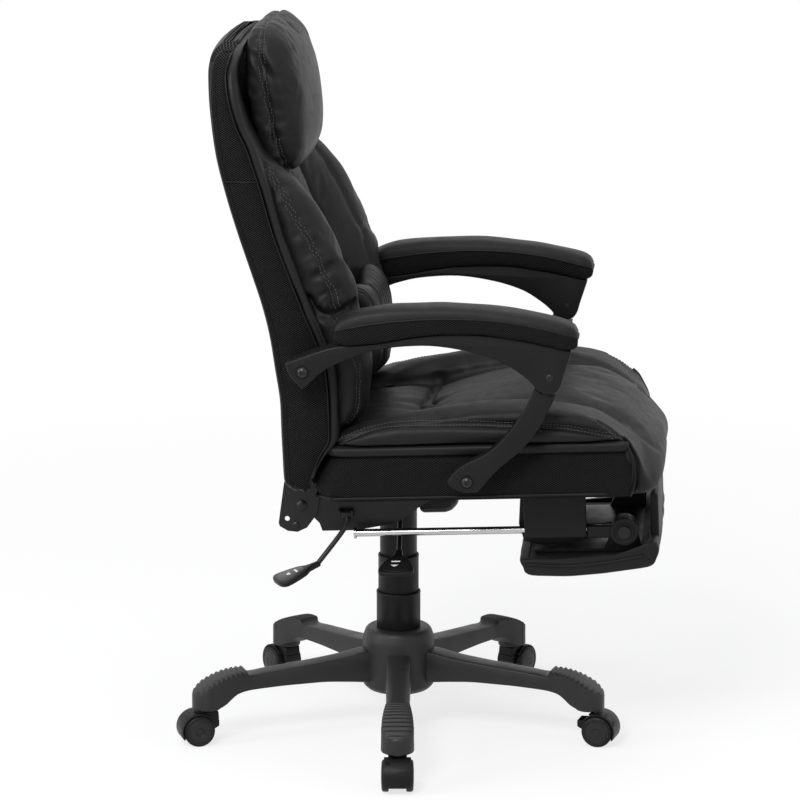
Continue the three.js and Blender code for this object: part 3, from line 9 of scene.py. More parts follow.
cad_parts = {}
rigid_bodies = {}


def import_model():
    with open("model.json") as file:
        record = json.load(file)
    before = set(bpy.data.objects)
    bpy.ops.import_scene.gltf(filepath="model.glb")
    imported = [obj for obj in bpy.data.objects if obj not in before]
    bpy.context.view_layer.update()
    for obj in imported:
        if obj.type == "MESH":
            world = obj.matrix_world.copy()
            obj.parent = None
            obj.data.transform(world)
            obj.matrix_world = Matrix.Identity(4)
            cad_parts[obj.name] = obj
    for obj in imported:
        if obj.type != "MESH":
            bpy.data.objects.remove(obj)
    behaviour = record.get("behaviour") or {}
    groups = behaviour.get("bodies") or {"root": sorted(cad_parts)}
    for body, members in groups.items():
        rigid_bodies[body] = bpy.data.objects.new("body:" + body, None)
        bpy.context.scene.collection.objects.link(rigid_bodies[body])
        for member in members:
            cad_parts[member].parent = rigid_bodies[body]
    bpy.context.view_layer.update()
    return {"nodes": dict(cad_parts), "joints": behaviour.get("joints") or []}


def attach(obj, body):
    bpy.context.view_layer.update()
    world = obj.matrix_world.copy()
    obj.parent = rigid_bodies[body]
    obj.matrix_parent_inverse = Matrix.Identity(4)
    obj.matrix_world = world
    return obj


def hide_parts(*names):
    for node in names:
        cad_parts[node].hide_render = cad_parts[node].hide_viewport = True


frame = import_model()

MM = 0.001
JOINTS = {joint["name"]: joint for joint in frame["joints"]}

# The seat's own frame: on the column's axis, turned back by the seat's angle
COLUMN = Vector(JOINTS["swivel"]["pos_m"][:2] + [0])
SEAT_FORWARD = Vector(JOINTS["footrest_slide"]["axis"]).normalized()
SEAT_LEFT = Vector((0, 1, 0))
SEAT_UP = SEAT_FORWARD.cross(SEAT_LEFT)
SEAT_DATUM = 430


def chair_point(x, y, z):
    """Row-frame place of a point given in millimetres from the column's axis at the floor."""
    return COLUMN + Vector((x, y, z)) * MM


def seat_point(x, y, z):
    """Row-frame place of a point given in millimetres in the seat's frame."""
    origin = COLUMN + Vector((0, 0, SEAT_DATUM * MM))
    return origin + (SEAT_FORWARD * x + SEAT_LEFT * y + SEAT_UP * z) * MM


SEAT_MATRIX = Matrix.Translation(seat_point(0, 0, 0)) @ Matrix(
    (SEAT_FORWARD, SEAT_LEFT, SEAT_UP)
).transposed().to_4x4()


# Camera, at the photograph's view: 5.25 degrees round from the side, 13.05 degrees down
CAMERA_PLACE = (534.7, -5793.1, 1887.8)
CAMERA_TURN = math.radians(5.25)
CAMERA_DIP = math.radians(13.05)
CAMERA_LENS = 168.47
SENSOR = 36


def make_camera():
    data = bpy.data.cameras.new("camera")
    data.lens = CAMERA_LENS
    data.sensor_width = SENSOR
    data.clip_end = 100
    camera = bpy.data.objects.new("camera", data)
    bpy.context.scene.collection.objects.link(camera)
    camera.location = chair_point(*CAMERA_PLACE)
    look = Vector((
        -math.sin(CAMERA_TURN) * math.cos(CAMERA_DIP),
        math.cos(CAMERA_TURN) * math.cos(CAMERA_DIP),
        -math.sin(CAMERA_DIP),
    ))
    camera.rotation_euler = look.to_track_quat("-Z", "Y").to_euler()
    bpy.context.scene.camera = camera


# Node material helpers
class Nodes:
    """A material's node tree, with short calls to add and link nodes."""

    def __init__(self, name):
        self.material = bpy.data.materials.new(name)
        self.material.use_nodes = True
        self.tree = self.material.node_tree
        self.tree.nodes.clear()
        self.output = self.tree.nodes.new("ShaderNodeOutputMaterial")

    def add(self, kind, **values):
        node = self.tree.nodes.new("ShaderNode" + kind)
        for name, value in values.items():
            setattr(node, name, value)
        return node

    def link(self, source, target):
        self.tree.links.new(source, target)

    def feed(self, node, name, value):
        socket = node.inputs[name]
        if hasattr(value, "links"):
            self.link(value, socket)
        else:
            socket.default_value = value

    def math(self, operation, first, second=0.0, clamp=False):
        node = self.add("Math", operation=operation, use_clamp=clamp)
        self.feed(node, 0, first)
        self.feed(node, 1, second)
        return node.outputs[0]

    def mix(self, factor, first, second):
        node = self.add("Mix", data_type="RGBA")
        self.feed(node, 0, factor)
        self.feed(node, 6, first)
        self.feed(node, 7, second)
        return node.outputs[2]

    def coords(self):
        return self.add("TexCoord").outputs["Object"]

    def noise(self, scale, detail=2.0, roughness=0.5, vector=None):
        node = self.add("TexNoise")
        self.link(vector or self.coords(), node.inputs["Vector"])
        self.feed(node, "Scale", scale)
        self.feed(node, "Detail", detail)
        self.feed(node, "Roughness", roughness)
        return node.outputs["Fac"]

    def cells(self, scale, feature="F1", vector=None, randomness=1.0):
        node = self.add("TexVoronoi", feature=feature)
        self.link(vector or self.coords(), node.inputs["Vector"])
        self.feed(node, "Scale", scale)
        self.feed(node, "Randomness", randomness)
        return node.outputs["Distance"]

    def ramp(self, value, low, high, from_low=0.0, from_high=1.0):
        node = self.add("MapRange")
        self.link(value, node.inputs["Value"])
        self.feed(node, "From Min", from_low)
        self.feed(node, "From Max", from_high)
        self.feed(node, "To Min", low)
        self.feed(node, "To Max", high)
        return node.outputs["Result"]

    def bump(self, height, distance, strength=1.0, under=None):
        node = self.add("Bump")
        self.link(height, node.inputs["Height"])
        self.feed(node, "Distance", distance)
        self.feed(node, "Strength", strength)
        if under is not None:
            self.link(under, node.inputs["Normal"])
        return node.outputs["Normal"]

    def surface(self, color, roughness, normal=None, **inputs):
        shader = self.add("BsdfPrincipled")
        self.feed(shader, "Base Color", color)
        self.feed(shader, "Roughness", roughness)
        if normal is not None:
            self.link(normal, shader.inputs["Normal"])
        for name, value in inputs.items():
            self.feed(shader, name.replace("_", " "), value)
        self.link(shader.outputs[0], self.output.inputs["Surface"])
        return self.material


def grey(value, warm=0.0):
    return (value * (1 + warm), value, value * (1 - warm), 1.0)


def leather_material(name, tone=0.0085, grain=1.0, low=0.4, high=0.56):
    nodes = Nodes(name)
    broad = nodes.noise(9, 4)
    fine = nodes.noise(60, 3)
    grain_cells = nodes.cells(900, "DISTANCE_TO_EDGE")
    pores = nodes.noise(1500, 2)
    color = nodes.mix(broad, grey(tone * 0.8), grey(tone * 1.25, 0.01))
    roughness = nodes.ramp(nodes.math("ADD", broad, fine), low, high, 0.6, 1.4)
    creases = nodes.bump(fine, 0.0006, 0.5)
    grained = nodes.bump(grain_cells, 0.00022 * grain, 0.7, creases)
    normal = nodes.bump(pores, 0.00008 * grain, 0.6, grained)
    return nodes.surface(color, roughness, normal, Specular_IOR_Level=0.14)


def mesh_material(name, pitch=5.2):
    """Spacer mesh of diamond cells, on walls that face mostly sideways, or forwards and back."""
    nodes = Nodes(name)
    place = nodes.add("SeparateXYZ")
    nodes.link(nodes.coords(), place.inputs[0])
    facing = nodes.add("SeparateXYZ")
    nodes.link(nodes.add("NewGeometry").outputs["Normal"], facing.inputs[0])
    ends = nodes.math("GREATER_THAN", nodes.math("ABSOLUTE", facing.outputs["X"]), 0.75)
    run = nodes.math("ADD", nodes.math("MULTIPLY", place.outputs["Y"], ends),
                     nodes.math("MULTIPLY", place.outputs["X"], nodes.math("SUBTRACT", 1.0, ends)))
    turns = math.pi / (pitch * MM)
    along = nodes.math("MULTIPLY", run, turns)
    up = nodes.math("MULTIPLY", place.outputs["Z"], turns * 1.55)
    first = nodes.math("ABSOLUTE", nodes.math("SINE", nodes.math("ADD", along, up)))
    second = nodes.math("ABSOLUTE", nodes.math("SINE", nodes.math("SUBTRACT", along, up)))
    yarn = nodes.math("MINIMUM", first, second)
    hole = nodes.ramp(yarn, 1.0, 0.0, 0.28, 0.62)
    fuzz = nodes.noise(2500, 2)
    height = nodes.math("ADD", nodes.math("MULTIPLY", hole, 1.0), nodes.math("MULTIPLY", fuzz, 0.15))
    # Painted shade: the cells' openings are near black to stand in for the shade inside the mesh's holes; the yarn
    # keeps its own dark tone
    color = nodes.mix(hole, grey(0.0005), grey(0.019))
    roughness = nodes.ramp(hole, 0.95, 0.5)
    normal = nodes.bump(height, 0.0012, 1.0)
    return nodes.surface(color, roughness, normal, Specular_IOR_Level=0.05)


def plastic_material(name, tone=0.0062, low=0.36, high=0.5, grain=1.0, gloss=0.15):
    nodes = Nodes(name)
    broad = nodes.noise(14, 3)
    grain_noise = nodes.noise(1400, 2)
    color = nodes.mix(broad, grey(tone * 0.85), grey(tone * 1.2))
    roughness = nodes.ramp(broad, low, high, 0.35, 0.65)
    normal = nodes.bump(grain_noise, 0.00008 * grain, 0.8)
    return nodes.surface(color, roughness, normal, Specular_IOR_Level=gloss)


def steel_material(name, tone=0.008):
    nodes = Nodes(name)
    broad = nodes.noise(22, 4)
    peel = nodes.noise(420, 2)
    color = nodes.mix(broad, grey(tone * 0.7), grey(tone * 1.4))
    roughness = nodes.ramp(broad, 0.3, 0.48, 0.35, 0.65)
    normal = nodes.bump(peel, 0.0001, 0.5)
    return nodes.surface(color, roughness, normal, Specular_IOR_Level=0.24)


def chrome_material(name):
    nodes = Nodes(name)
    streaks = nodes.noise(40, 3)
    roughness = nodes.ramp(streaks, 0.07, 0.16, 0.35, 0.65)
    color = nodes.mix(streaks, grey(0.42), grey(0.52))
    return nodes.surface(color, roughness, None, Metallic=1.0)


def thread_material(name, tone=0.05):
    nodes = Nodes(name)
    twist = nodes.noise(3000, 1)
    color = nodes.mix(twist, grey(tone * 0.7), grey(tone * 1.5))
    normal = nodes.bump(twist, 0.0001, 0.6)
    return nodes.surface(color, 0.5, normal, Specular_IOR_Level=0.3)


def board_material(name):
    nodes = Nodes(name)
    weave = nodes.noise(700, 3)
    color = nodes.mix(weave, grey(0.012), grey(0.03))
    normal = nodes.bump(weave, 0.0003, 0.8)
    return nodes.surface(color, 0.85, normal)


def mark_material(name):
    nodes = Nodes(name)
    wear = nodes.noise(300, 3)
    color = nodes.mix(wear, grey(0.7), grey(0.82))
    return nodes.surface(color, 0.45)


LEATHER = leather_material("leather")
LEATHER_FINE = leather_material("leather_fine", 0.0085, 0.8, 0.38, 0.52)
PIPING = leather_material("piping", 0.006, 0.6, 0.38, 0.5)
MESH = mesh_material("spacer_mesh")
PLASTIC = plastic_material("black_nylon")
BASE_PLASTIC = plastic_material("base_nylon", 0.0155, 0.4, 0.54, gloss=0.26)
PLASTIC_SMOOTH = plastic_material("black_plastic_smooth", 0.008, 0.24, 0.36, 0.4, 0.3)
STEEL = steel_material("black_steel")
CHROME = chrome_material("chrome")
THREAD = thread_material("thread")
BOARD = board_material("dust_cloth")
MARK = mark_material("printed_mark")


# Mesh helpers
def as_object(name, points, faces, material, smooth=True):
    mesh = bpy.data.meshes.new(name)
    mesh.from_pydata([tuple(p) for p in points], [], [tuple(f) for f in faces])
    mesh.update()
    if smooth:
        mesh.shade_smooth()
    if material is not None:
        mesh.materials.append(material)
    thing = bpy.data.objects.new(name, mesh)
    bpy.context.scene.collection.objects.link(thing)
    return thing


def volume_sign(points, faces):
    points = np.asarray(points, float)
    total = 0.0
    for face in faces:
        a = points[face[0]]
        for second, third in zip(face[1:-1], face[2:]):
            total += float(a @ np.cross(points[second], points[third]))
    return total


def lofted(rings, caps=True, plain=False):
    """Points and outward quads through closed rings of equal length, with a fan or one face over each end."""
    rings = [np.asarray(ring, float) for ring in rings]
    count = len(rings[0])
    points = [tuple(p) for ring in rings for p in ring]
    faces = []
    for i in range(len(rings) - 1):
        for j in range(count):
            k = (j + 1) % count
            faces.append((i * count + j, i * count + k, (i + 1) * count + k, (i + 1) * count + j))
    if caps and plain:
        faces.append(tuple(reversed(range(count))))
        faces.append(tuple(range((len(rings) - 1) * count, len(rings) * count)))
    elif caps:
        for ring, start, flip in ((rings[0], 0, True), (rings[-1], (len(rings) - 1) * count, False)):
            middle = len(points)
            points.append(tuple(ring.mean(axis=0)))
            for j in range(count):
                k = (j + 1) % count
                faces.append((middle, start + k, start + j) if flip else (middle, start + j, start + k))
    if volume_sign(points, faces) < 0:
        faces = [tuple(reversed(face)) for face in faces]
    return points, faces


def finish_mesh(thing, bevel=None, segments=2, angle=32, weld=None, subdivide=0):
    """Applies a weld, bevel and subdivision to a new piece, so that no modifier is left on it."""
    if weld:
        modifier = thing.modifiers.new("weld", "WELD")
        modifier.merge_threshold = weld
    if bevel:
        modifier = thing.modifiers.new("bevel", "BEVEL")
        modifier.width = bevel
        modifier.segments = segments
        modifier.limit_method = "ANGLE"
        modifier.angle_limit = math.radians(angle)
        modifier.harden_normals = False
    if subdivide:
        modifier = thing.modifiers.new("subdivision", "SUBSURF")
        modifier.levels = subdivide
        modifier.render_levels = subdivide
    bake_modifiers(thing)
    return thing


def bake_modifiers(thing):
    graph = bpy.context.evaluated_depsgraph_get()
    mesh = bpy.data.meshes.new_from_object(thing.evaluated_get(graph))
    old = thing.data
    thing.modifiers.clear()
    thing.data = mesh
    mesh.name = old.name
    bpy.data.meshes.remove(old)


def sharpen(thing, angle=38):
    """Smooth shading that keeps edges steeper than the angle sharp."""
    thing.data.shade_smooth()
    thing.data.set_sharp_from_angle(angle=math.radians(angle))


def flat_caps(thing, angle=25):
    """Flat end faces with sharp rims, for a piece whose ends are cut square."""
    mesh = thing.data
    level = [abs(face.normal.z) > math.cos(math.radians(angle)) for face in mesh.polygons]
    owners = {}
    for face, flat in zip(mesh.polygons, level):
        for key in face.edge_keys:
            owners.setdefault(key, []).append(flat)
    for edge in mesh.edges:
        sides = owners.get(edge.key, [])
        if len(set(sides)) > 1:
            edge.use_edge_sharp = True


def catmull(points, per_span=8, closed=False):
    """Dense points on a smooth curve through the given ones."""
    points = [np.asarray(p, float) for p in points]
    count = len(points)
    spans = count if closed else count - 1
    curve = []
    for i in range(spans):
        if closed:
            a, b, c, d = (points[(i + k - 1) % count] for k in range(4))
        else:
            a, b = points[max(i - 1, 0)], points[i]
            c, d = points[i + 1], points[min(i + 2, count - 1)]
        for j in range(per_span):
            t = j / per_span
            curve.append(0.5 * (2 * b + (c - a) * t + (2 * a - 5 * b + 4 * c - d) * t ** 2
                                + (3 * b - a - 3 * c + d) * t ** 3))
    if not closed:
        curve.append(points[-1])
    return np.array(curve)


def resampled(points, count, closed=False):
    """The same line with its points at even distances."""
    points = np.asarray(points, float)
    if closed:
        points = np.vstack([points, points[:1]])
    steps = np.linalg.norm(np.diff(points, axis=0), axis=1)
    travel = np.concatenate([[0], np.cumsum(steps)])
    wanted = np.linspace(0, travel[-1], count + 1 if closed else count)
    if closed:
        wanted = wanted[:-1]
    return np.stack([np.interp(wanted, travel, points[:, k]) for k in range(points.shape[1])], axis=1)


def smooth_table(rows, steps):
    """Rows of [place, values...] made into a smooth function of the place, without overshoot."""
    rows = np.asarray(rows, float)
    x, y = rows[:, 0], rows[:, 1:]
    h = np.diff(x)[:, None]
    slope = np.diff(y, axis=0) / h
    tangent = np.zeros_like(y)
    for i in range(1, len(x) - 1):
        same = slope[i - 1] * slope[i] > 0
        weight_a, weight_b = 2 * h[i] + h[i - 1], h[i] + 2 * h[i - 1]
        with np.errstate(divide="ignore", invalid="ignore"):
            mean = (weight_a + weight_b) / (weight_a / slope[i - 1] + weight_b / slope[i])
        tangent[i] = np.where(same, mean, 0)
    tangent[0], tangent[-1] = slope[0], slope[-1]
    places = np.asarray(steps, float)
    which = np.clip(np.searchsorted(x, places, side="right") - 1, 0, len(x) - 2)
    span = h[which]
    t = ((places - x[which])[:, None] / span)
    value = ((1 + 2 * t) * (1 - t) ** 2 * y[which] + t * (1 - t) ** 2 * span * tangent[which]
             + t ** 2 * (3 - 2 * t) * y[which + 1] + t ** 2 * (t - 1) * span * tangent[which + 1])
    return value


def tube(name, points, radius, material, sides=8, closed=False):
    """Round bar along a line of points, with closed ends."""
    points = [Vector(p) for p in points]
    count = len(points)
    rings = []
    normal = None
    for i in range(count):
        before = points[(i - 1) % count] if closed or i > 0 else points[i]
        after = points[(i + 1) % count] if closed or i < count - 1 else points[i]
        forward = (after - before).normalized()
        if normal is None:
            normal = forward.orthogonal().normalized()
        normal = (normal - forward * normal.dot(forward)).normalized()
        side = forward.cross(normal)
        rings.append([points[i] + (normal * math.cos(a) + side * math.sin(a)) * radius
                      for a in (k * 2 * math.pi / sides for k in range(sides))])
    if closed:
        start = np.array(rings[0])
        last = rings[-1]
        shift = min(range(sides), key=lambda k: (Vector(start[k]) - last[0]).length)
        rings.append([Vector(start[(k + shift) % sides]) for k in range(sides)])
    mesh_points, faces = lofted(rings, caps=not closed)
    thing = as_object(name, mesh_points, faces, material)
    if closed:
        finish_mesh(thing, weld=0.00001)
        thing.data.shade_smooth()
    return thing


def turned(name, profile, matrix, material, steps=48, angle=30):
    """Lathe about the matrix's Z axis from [radius, height] in millimetres, from axis to axis."""
    points, faces = [], []
    rings = []
    for radius, height in profile:
        if radius == 0:
            rings.append([len(points)])
            points.append(matrix @ Vector((0, 0, height * MM)))
        else:
            ring = []
            for k in range(steps):
                a = k * 2 * math.pi / steps
                ring.append(len(points))
                points.append(matrix @ (Vector((radius * math.cos(a), radius * math.sin(a), height)) * MM))
            rings.append(ring)
    for low, high in zip(rings, rings[1:]):
        for k in range(steps):
            m = (k + 1) % steps
            a, b = low[k % len(low)], low[m % len(low)]
            c, d = high[m % len(high)], high[k % len(high)]
            face = []
            for corner in (a, b, c, d):
                if corner not in face:
                    face.append(corner)
            if len(face) > 2:
                faces.append(tuple(face))
    if volume_sign(points, faces) < 0:
        faces = [tuple(reversed(face)) for face in faces]
    thing = as_object(name, points, faces, material)
    sharpen(thing, angle)
    return thing


def rounded_profile(profile, radius, steps=3):
    """A lathe profile with its corners off the axis rounded."""
    result = [profile[0]]
    for before, corner, after in zip(profile, profile[1:], profile[2:]):
        a, b, c = (np.asarray(p, float) for p in (before, corner, after))
        first, second = a - b, c - b
        reach = min(radius, np.linalg.norm(first) * 0.45, np.linalg.norm(second) * 0.45)
        if reach < 0.05:
            result.append(list(corner))
            continue
        start = b + first / np.linalg.norm(first) * reach
        end = b + second / np.linalg.norm(second) * reach
        for k in range(steps + 1):
            t = k / steps
            point = (1 - t) ** 2 * start + 2 * t * (1 - t) * b + t ** 2 * end
            result.append([max(float(point[0]), 0.01), float(point[1])])
    result.append(profile[-1])
    return result


def axis_matrix(place, axis):
    """Matrix whose Z axis points along the given axis, at the place."""
    axis = Vector(axis).normalized()
    turn = axis.to_track_quat("Z", "Y").to_matrix().to_4x4()
    return Matrix.Translation(place) @ turn


def plate(name, outline, width, centre, to_row, material, bevel=1.5, segments=3):
    """Rounded plate: a closed outline of (x, z) millimetres, extruded along y about its centre."""
    outline = np.asarray(outline, float)
    area = np.sum(outline[:, 0] * np.roll(outline[:, 1], -1) - np.roll(outline[:, 0], -1) * outline[:, 1])
    if area < 0:
        outline = outline[::-1]
    count = len(outline)
    points, faces = [], []
    for y in (centre - width / 2, centre + width / 2):
        for x, z in outline:
            points.append(to_row(x, y, z))
    faces.append(tuple(range(count)))
    faces.append(tuple(reversed(range(count, 2 * count))))
    for j in range(count):
        k = (j + 1) % count
        faces.append((j, j + count, k + count, k))
    if volume_sign(points, faces) < 0:
        faces = [tuple(reversed(face)) for face in faces]
    thing = as_object(name, points, faces, material)
    finish_mesh(thing, bevel=bevel * MM, segments=segments, angle=40)
    sharpen(thing, 40)
    return thing


def boolean(thing, tools, operation="DIFFERENCE"):
    """Cuts or joins with the tool objects, and removes them."""
    for tool in tools:
        modifier = thing.modifiers.new("boolean", "BOOLEAN")
        modifier.operation = operation
        modifier.object = tool
        modifier.solver = "EXACT"
    bake_modifiers(thing)
    for tool in tools:
        bpy.data.objects.remove(tool)
    return thing


def joined(name, things):
    """One object from several, each keeping its materials."""
    bpy.context.view_layer.update()
    for thing in bpy.context.view_layer.objects:
        thing.select_set(False)
    for thing in things:
        thing.select_set(True)
    bpy.context.view_layer.objects.active = things[0]
    with bpy.context.temp_override(active_object=things[0], selected_editable_objects=things):
        bpy.ops.object.join()
    things[0].name = name
    things[0].data.name = name
    things[0].select_set(False)
    return things[0]


def settle(piece, body, slot, *nodes):
    """Makes a piece ride on its body and stand for its CAD nodes, which it hides. The slot is not used."""
    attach(piece, body)
    if nodes:
        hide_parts(*nodes)
    return piece


make_camera()


# Sizes and tables of the chair, in millimetres and shares, as the solids have them
FIT = 0.3
SEAT_HALF = 250
SEAT_START = -80
BOXING_FLOOR = 5
BOXING_TOP = 80
BOXING_FRONT = 371
BOXING_BULGE = 9
SEAT_FRONT = 429
CROWN_RISE = 69
BAND_TOP = 93.5
SEAT_SHARES = [
    [0, 0.9, 1, 0.28, 0.25], [0.023, 0.955, 1, 0.4, 0.28], [0.068, 0.985, 1, 0.52, 0.32],
    [0.135, 1, 1, 0.6, 0.36], [0.214, 1, 1, 0.71, 0.36], [0.293, 1, 1, 0.8, 0.31],
    [0.338, 1, 1, 0.84, 0.36], [0.429, 1, 1, 0.92, 0.54], [0.564, 1, 1, 0.99, 0.72],
    [0.677, 1, 1, 0.96, 0.81], [0.79, 1, 1, 0.86, 0.81], [0.891, 1, 1, 0.69, 0.74],
    [0.959, 1, 1, 0.43, 0.53], [1, 0.995, 1, 0.23, 0.38], [1.055, 0.99, 0.02, 0.18, 0.33],
    [1.295, 0.98, 0, -0.03, 0.1], [1.515, 0.945, 0, -0.26, -0.14], [1.69, 0.885, 0, -0.42, -0.32],
    [1.84, 0.79, 0.05, -0.54, -0.48], [1.94, 0.62, 0.15, -0.62, -0.58], [2, 0.36, 0.28, -0.67, -0.67],
]
SEAT_ACROSS = [
    [0, 0, 0], [0.22, 0, 0], [0.42, 0.02, 0.02], [0.54, 0.08, 0.1], [0.6, 0.3, 0.16],
    [0.66, 0.74, 0.02], [0.76, 0.97, 0], [0.85, 1, 0], [0.94, 0.86, 0], [0.985, 0.62, 0],
]
BACK_FOOT = 446
BACK_HEIGHT = 681
BACK_HALF = 246
BACK_REAR = 154
BACK_LEAN = 111
SHELL_THICKNESS = 78
SHELL_HOLLOW = 18
SHELL_CORNER = 9
WELT_DEPTH = 13
BACK_REACH = 132
SHELL_SHARES = [
    [0, -0.144, 0.256, 0.955], [0.009, -0.063, 0.423, 0.975], [0.028, 0, 0.526, 1],
    [0.082, 0.018, 0.731, 1], [0.13, 0.032, 0.955, 1], [0.199, 0.045, 0.962, 1],
    [0.285, 0.117, 1, 1], [0.36, 0.189, 0.885, 1], [0.422, 0.279, 0.782, 1],
    [0.505, 0.441, 0.731, 1], [0.594, 0.622, 0.705, 1], [0.678, 0.775, 0.718, 1],
    [0.77, 0.91, 0.654, 0.995], [0.836, 0.964, 0.474, 0.985], [0.901, 0.995, 0.365, 0.965],
    [0.945, 1, 0.321, 0.92], [0.974, 0.975, 0.32, 0.84], [0.991, 0.91, 0.26, 0.7],
    [1, 0.82, 0.15, 0.5],
]
BACK_SHARES = [
    [0.13, 0.14, 0.1, 0.88], [0.149, 0.32, 0.18, 0.93], [0.179, 0.46, 0.26, 0.95],
    [0.199, 0.48, 0.28, 0.955], [0.231, 0.5, 0.3, 0.96], [0.285, 0.55, 0.32, 0.97],
    [0.32, 0.575, 0.32, 0.97], [0.36, 0.595, 0.32, 0.97], [0.422, 0.66, 0.33, 0.97],
    [0.473, 0.72, 0.36, 0.97], [0.505, 0.71, 0.36, 0.97], [0.55, 0.695, 0.36, 0.97],
    [0.594, 0.66, 0.35, 0.965], [0.646, 0.58, 0.32, 0.955], [0.678, 0.485, 0.29, 0.945],
    [0.698, 0.42, 0.27, 0.94], [0.732, 0.26, 0.2, 0.93], [0.77, 0.14, 0.14, 0.93],
    [0.836, 0.12, 0.12, 0.93], [0.901, 0.115, 0.115, 0.93], [0.945, 0.11, 0.11, 0.93],
    [0.974, 0.1, 0.1, 0.92], [0.991, 0.06, 0.06, 0.88],
]
BACK_ACROSS = [
    [0, 0, 0], [0.14, 0, 0], [0.25, 0.02, 0.03], [0.3, 0.05, 0.09], [0.35, 0.12, 0.03],
    [0.5, 0.4, 0], [0.62, 0.72, 0], [0.73, 0.95, 0], [0.81, 1, 0], [0.88, 0.82, 0],
    [0.94, 0.48, 0], [0.985, 0.15, 0],
]


# Soft goods: distances to seams, grooves, stitches, piping and the cloth simulation
def seat_line(rows, per_span=10):
    """Smooth seat-frame line through millimetre points, in the row frame."""
    return np.array([seat_point(*p) for p in catmull(rows, per_span)])


def chair_line(rows, per_span=10):
    return np.array([chair_point(*p) for p in catmull(rows, per_span)])


def mirrored_line(line):
    """The same line on the other side of the chair."""
    other = np.array(line)
    other[:, 1] = 2 * COLUMN.y - other[:, 1]
    return other


def vertex_array(mesh):
    flat = np.empty(len(mesh.vertices) * 3)
    mesh.vertices.foreach_get("co", flat)
    return flat.reshape(-1, 3)


def set_vertices(mesh, points):
    mesh.vertices.foreach_set("co", np.asarray(points, float).ravel())
    mesh.update()


def vertex_normals(mesh):
    flat = np.empty(len(mesh.vertices) * 3)
    mesh.vertex_normals.foreach_get("vector", flat)
    return flat.reshape(-1, 3)


def surface_tree(thing):
    mesh = thing.data
    return BVHTree.FromPolygons([v.co for v in mesh.vertices], [p.vertices for p in mesh.polygons])


def snapped(thing, line, reach=0.06):
    """The line laid on the piece's surface, evened out."""
    tree = surface_tree(thing)
    points = []
    for p in resampled(line, max(12, int(np.linalg.norm(np.diff(line, axis=0), axis=1).sum() / 0.004))):
        near = tree.find_nearest(Vector(p), reach)
        if near[0] is not None:
            points.append(near[0])
    points = np.array(points)
    for _ in range(9):
        points[1:-1] = (points[:-2] + 2 * points[1:-1] + points[2:]) / 4
    return points


def pressed(thing, line, way, reach=0.04):
    """The line moved onto the piece along one direction, from its outer side, evened out in that direction."""
    tree = surface_tree(thing)
    count = max(12, int(np.linalg.norm(np.diff(line, axis=0), axis=1).sum() / 0.004))
    points = resampled(line, count)
    gaps = []
    for p in points:
        hit = tree.ray_cast(Vector(p) + way * reach, -way, 2 * reach)
        gaps.append(hit[3] - reach if hit[0] is not None else 0.0)
    gaps = np.array(gaps)
    for _ in range(9):
        gaps[1:-1] = (gaps[:-2] + 2 * gaps[1:-1] + gaps[2:]) / 4
    return np.array(points) - gaps[:, None] * np.array(way)


def near_line(points, line):
    """Distance from each point to the line, and the travel along it of the nearest place."""
    dense = resampled(line, max(8, int(np.linalg.norm(np.diff(line, axis=0), axis=1).sum() / 0.0025)))
    travel = np.concatenate([[0], np.cumsum(np.linalg.norm(np.diff(dense, axis=0), axis=1))])
    best = np.full(len(points), 1e9)
    place = np.zeros(len(points))
    low, high = dense.min(axis=0) - 0.06, dense.max(axis=0) + 0.06
    inside = np.where(np.all((points > low) & (points < high), axis=1))[0]
    for start in range(0, len(inside), 4000):
        part = inside[start:start + 4000]
        gaps = np.linalg.norm(points[part][:, None, :] - dense[None, :, :], axis=2)
        which = gaps.argmin(axis=1)
        best[part] = gaps[np.arange(len(part)), which]
        place[part] = travel[which]
    return best, place


def sew(thing, line, depth=0.003, width=0.004, pucker=0.0, pitch=0.014, reach=0.02, seed=0, fade=0.0):
    """Sinks a seam into the piece, with small puckers across it on both sides, fading out at its ends."""
    mesh = thing.data
    points, normals = vertex_array(mesh), vertex_normals(mesh)
    gap, place = near_line(points, line)
    move = -depth * np.exp(-(gap / width) ** 2)
    if pucker:
        wave = np.array([noise.noise(Vector((s / pitch, seed * 7.3, 0.37))) for s in place])
        move += pucker * wave * np.exp(-(gap / reach) ** 2) * (1 - np.exp(-(gap / (width * 0.8)) ** 2))
    if fade:
        length = np.linalg.norm(np.diff(line, axis=0), axis=1).sum()
        move *= np.clip(np.minimum(place, length - place) / fade, 0, 1)
    set_vertices(mesh, points + normals * move[:, None])


def swell(thing, middle, size, rise):
    """Raises or sinks a soft round area, of the given radii in metres along x, y and z."""
    mesh = thing.data
    points, normals = vertex_array(mesh), vertex_normals(mesh)
    reach = (points - np.array(middle)) / np.array(size)
    move = rise * np.exp(-np.sum(reach ** 2, axis=1))
    set_vertices(mesh, points + normals * move[:, None])


def wrinkle(thing, start, end, depth, width, seed=0):
    """One soft crease between two points on the piece, fading at both ends."""
    mesh = thing.data
    points, normals = vertex_array(mesh), vertex_normals(mesh)
    a, b = np.array(start), np.array(end)
    axis = b - a
    share = np.clip(((points - a) @ axis) / (axis @ axis), 0, 1)
    bend = np.sin(share * math.pi) * 0.12 * np.linalg.norm(axis) * (1 if seed % 2 else -1)
    side = np.cross(axis, np.array((0.3, 0.8, 0.5)))
    side /= np.linalg.norm(side)
    foot = a + share[:, None] * axis + side * bend[:, None] * 0.5
    gap = np.linalg.norm(points - foot, axis=1)
    fade = np.sin(np.clip(share, 0.02, 0.98) * math.pi) ** 0.6
    move = (-depth * np.exp(-(gap / width) ** 2) + depth * 0.55 * np.exp(-((gap - 2 * width) / width) ** 2)) * fade
    set_vertices(mesh, points + normals * move[:, None])


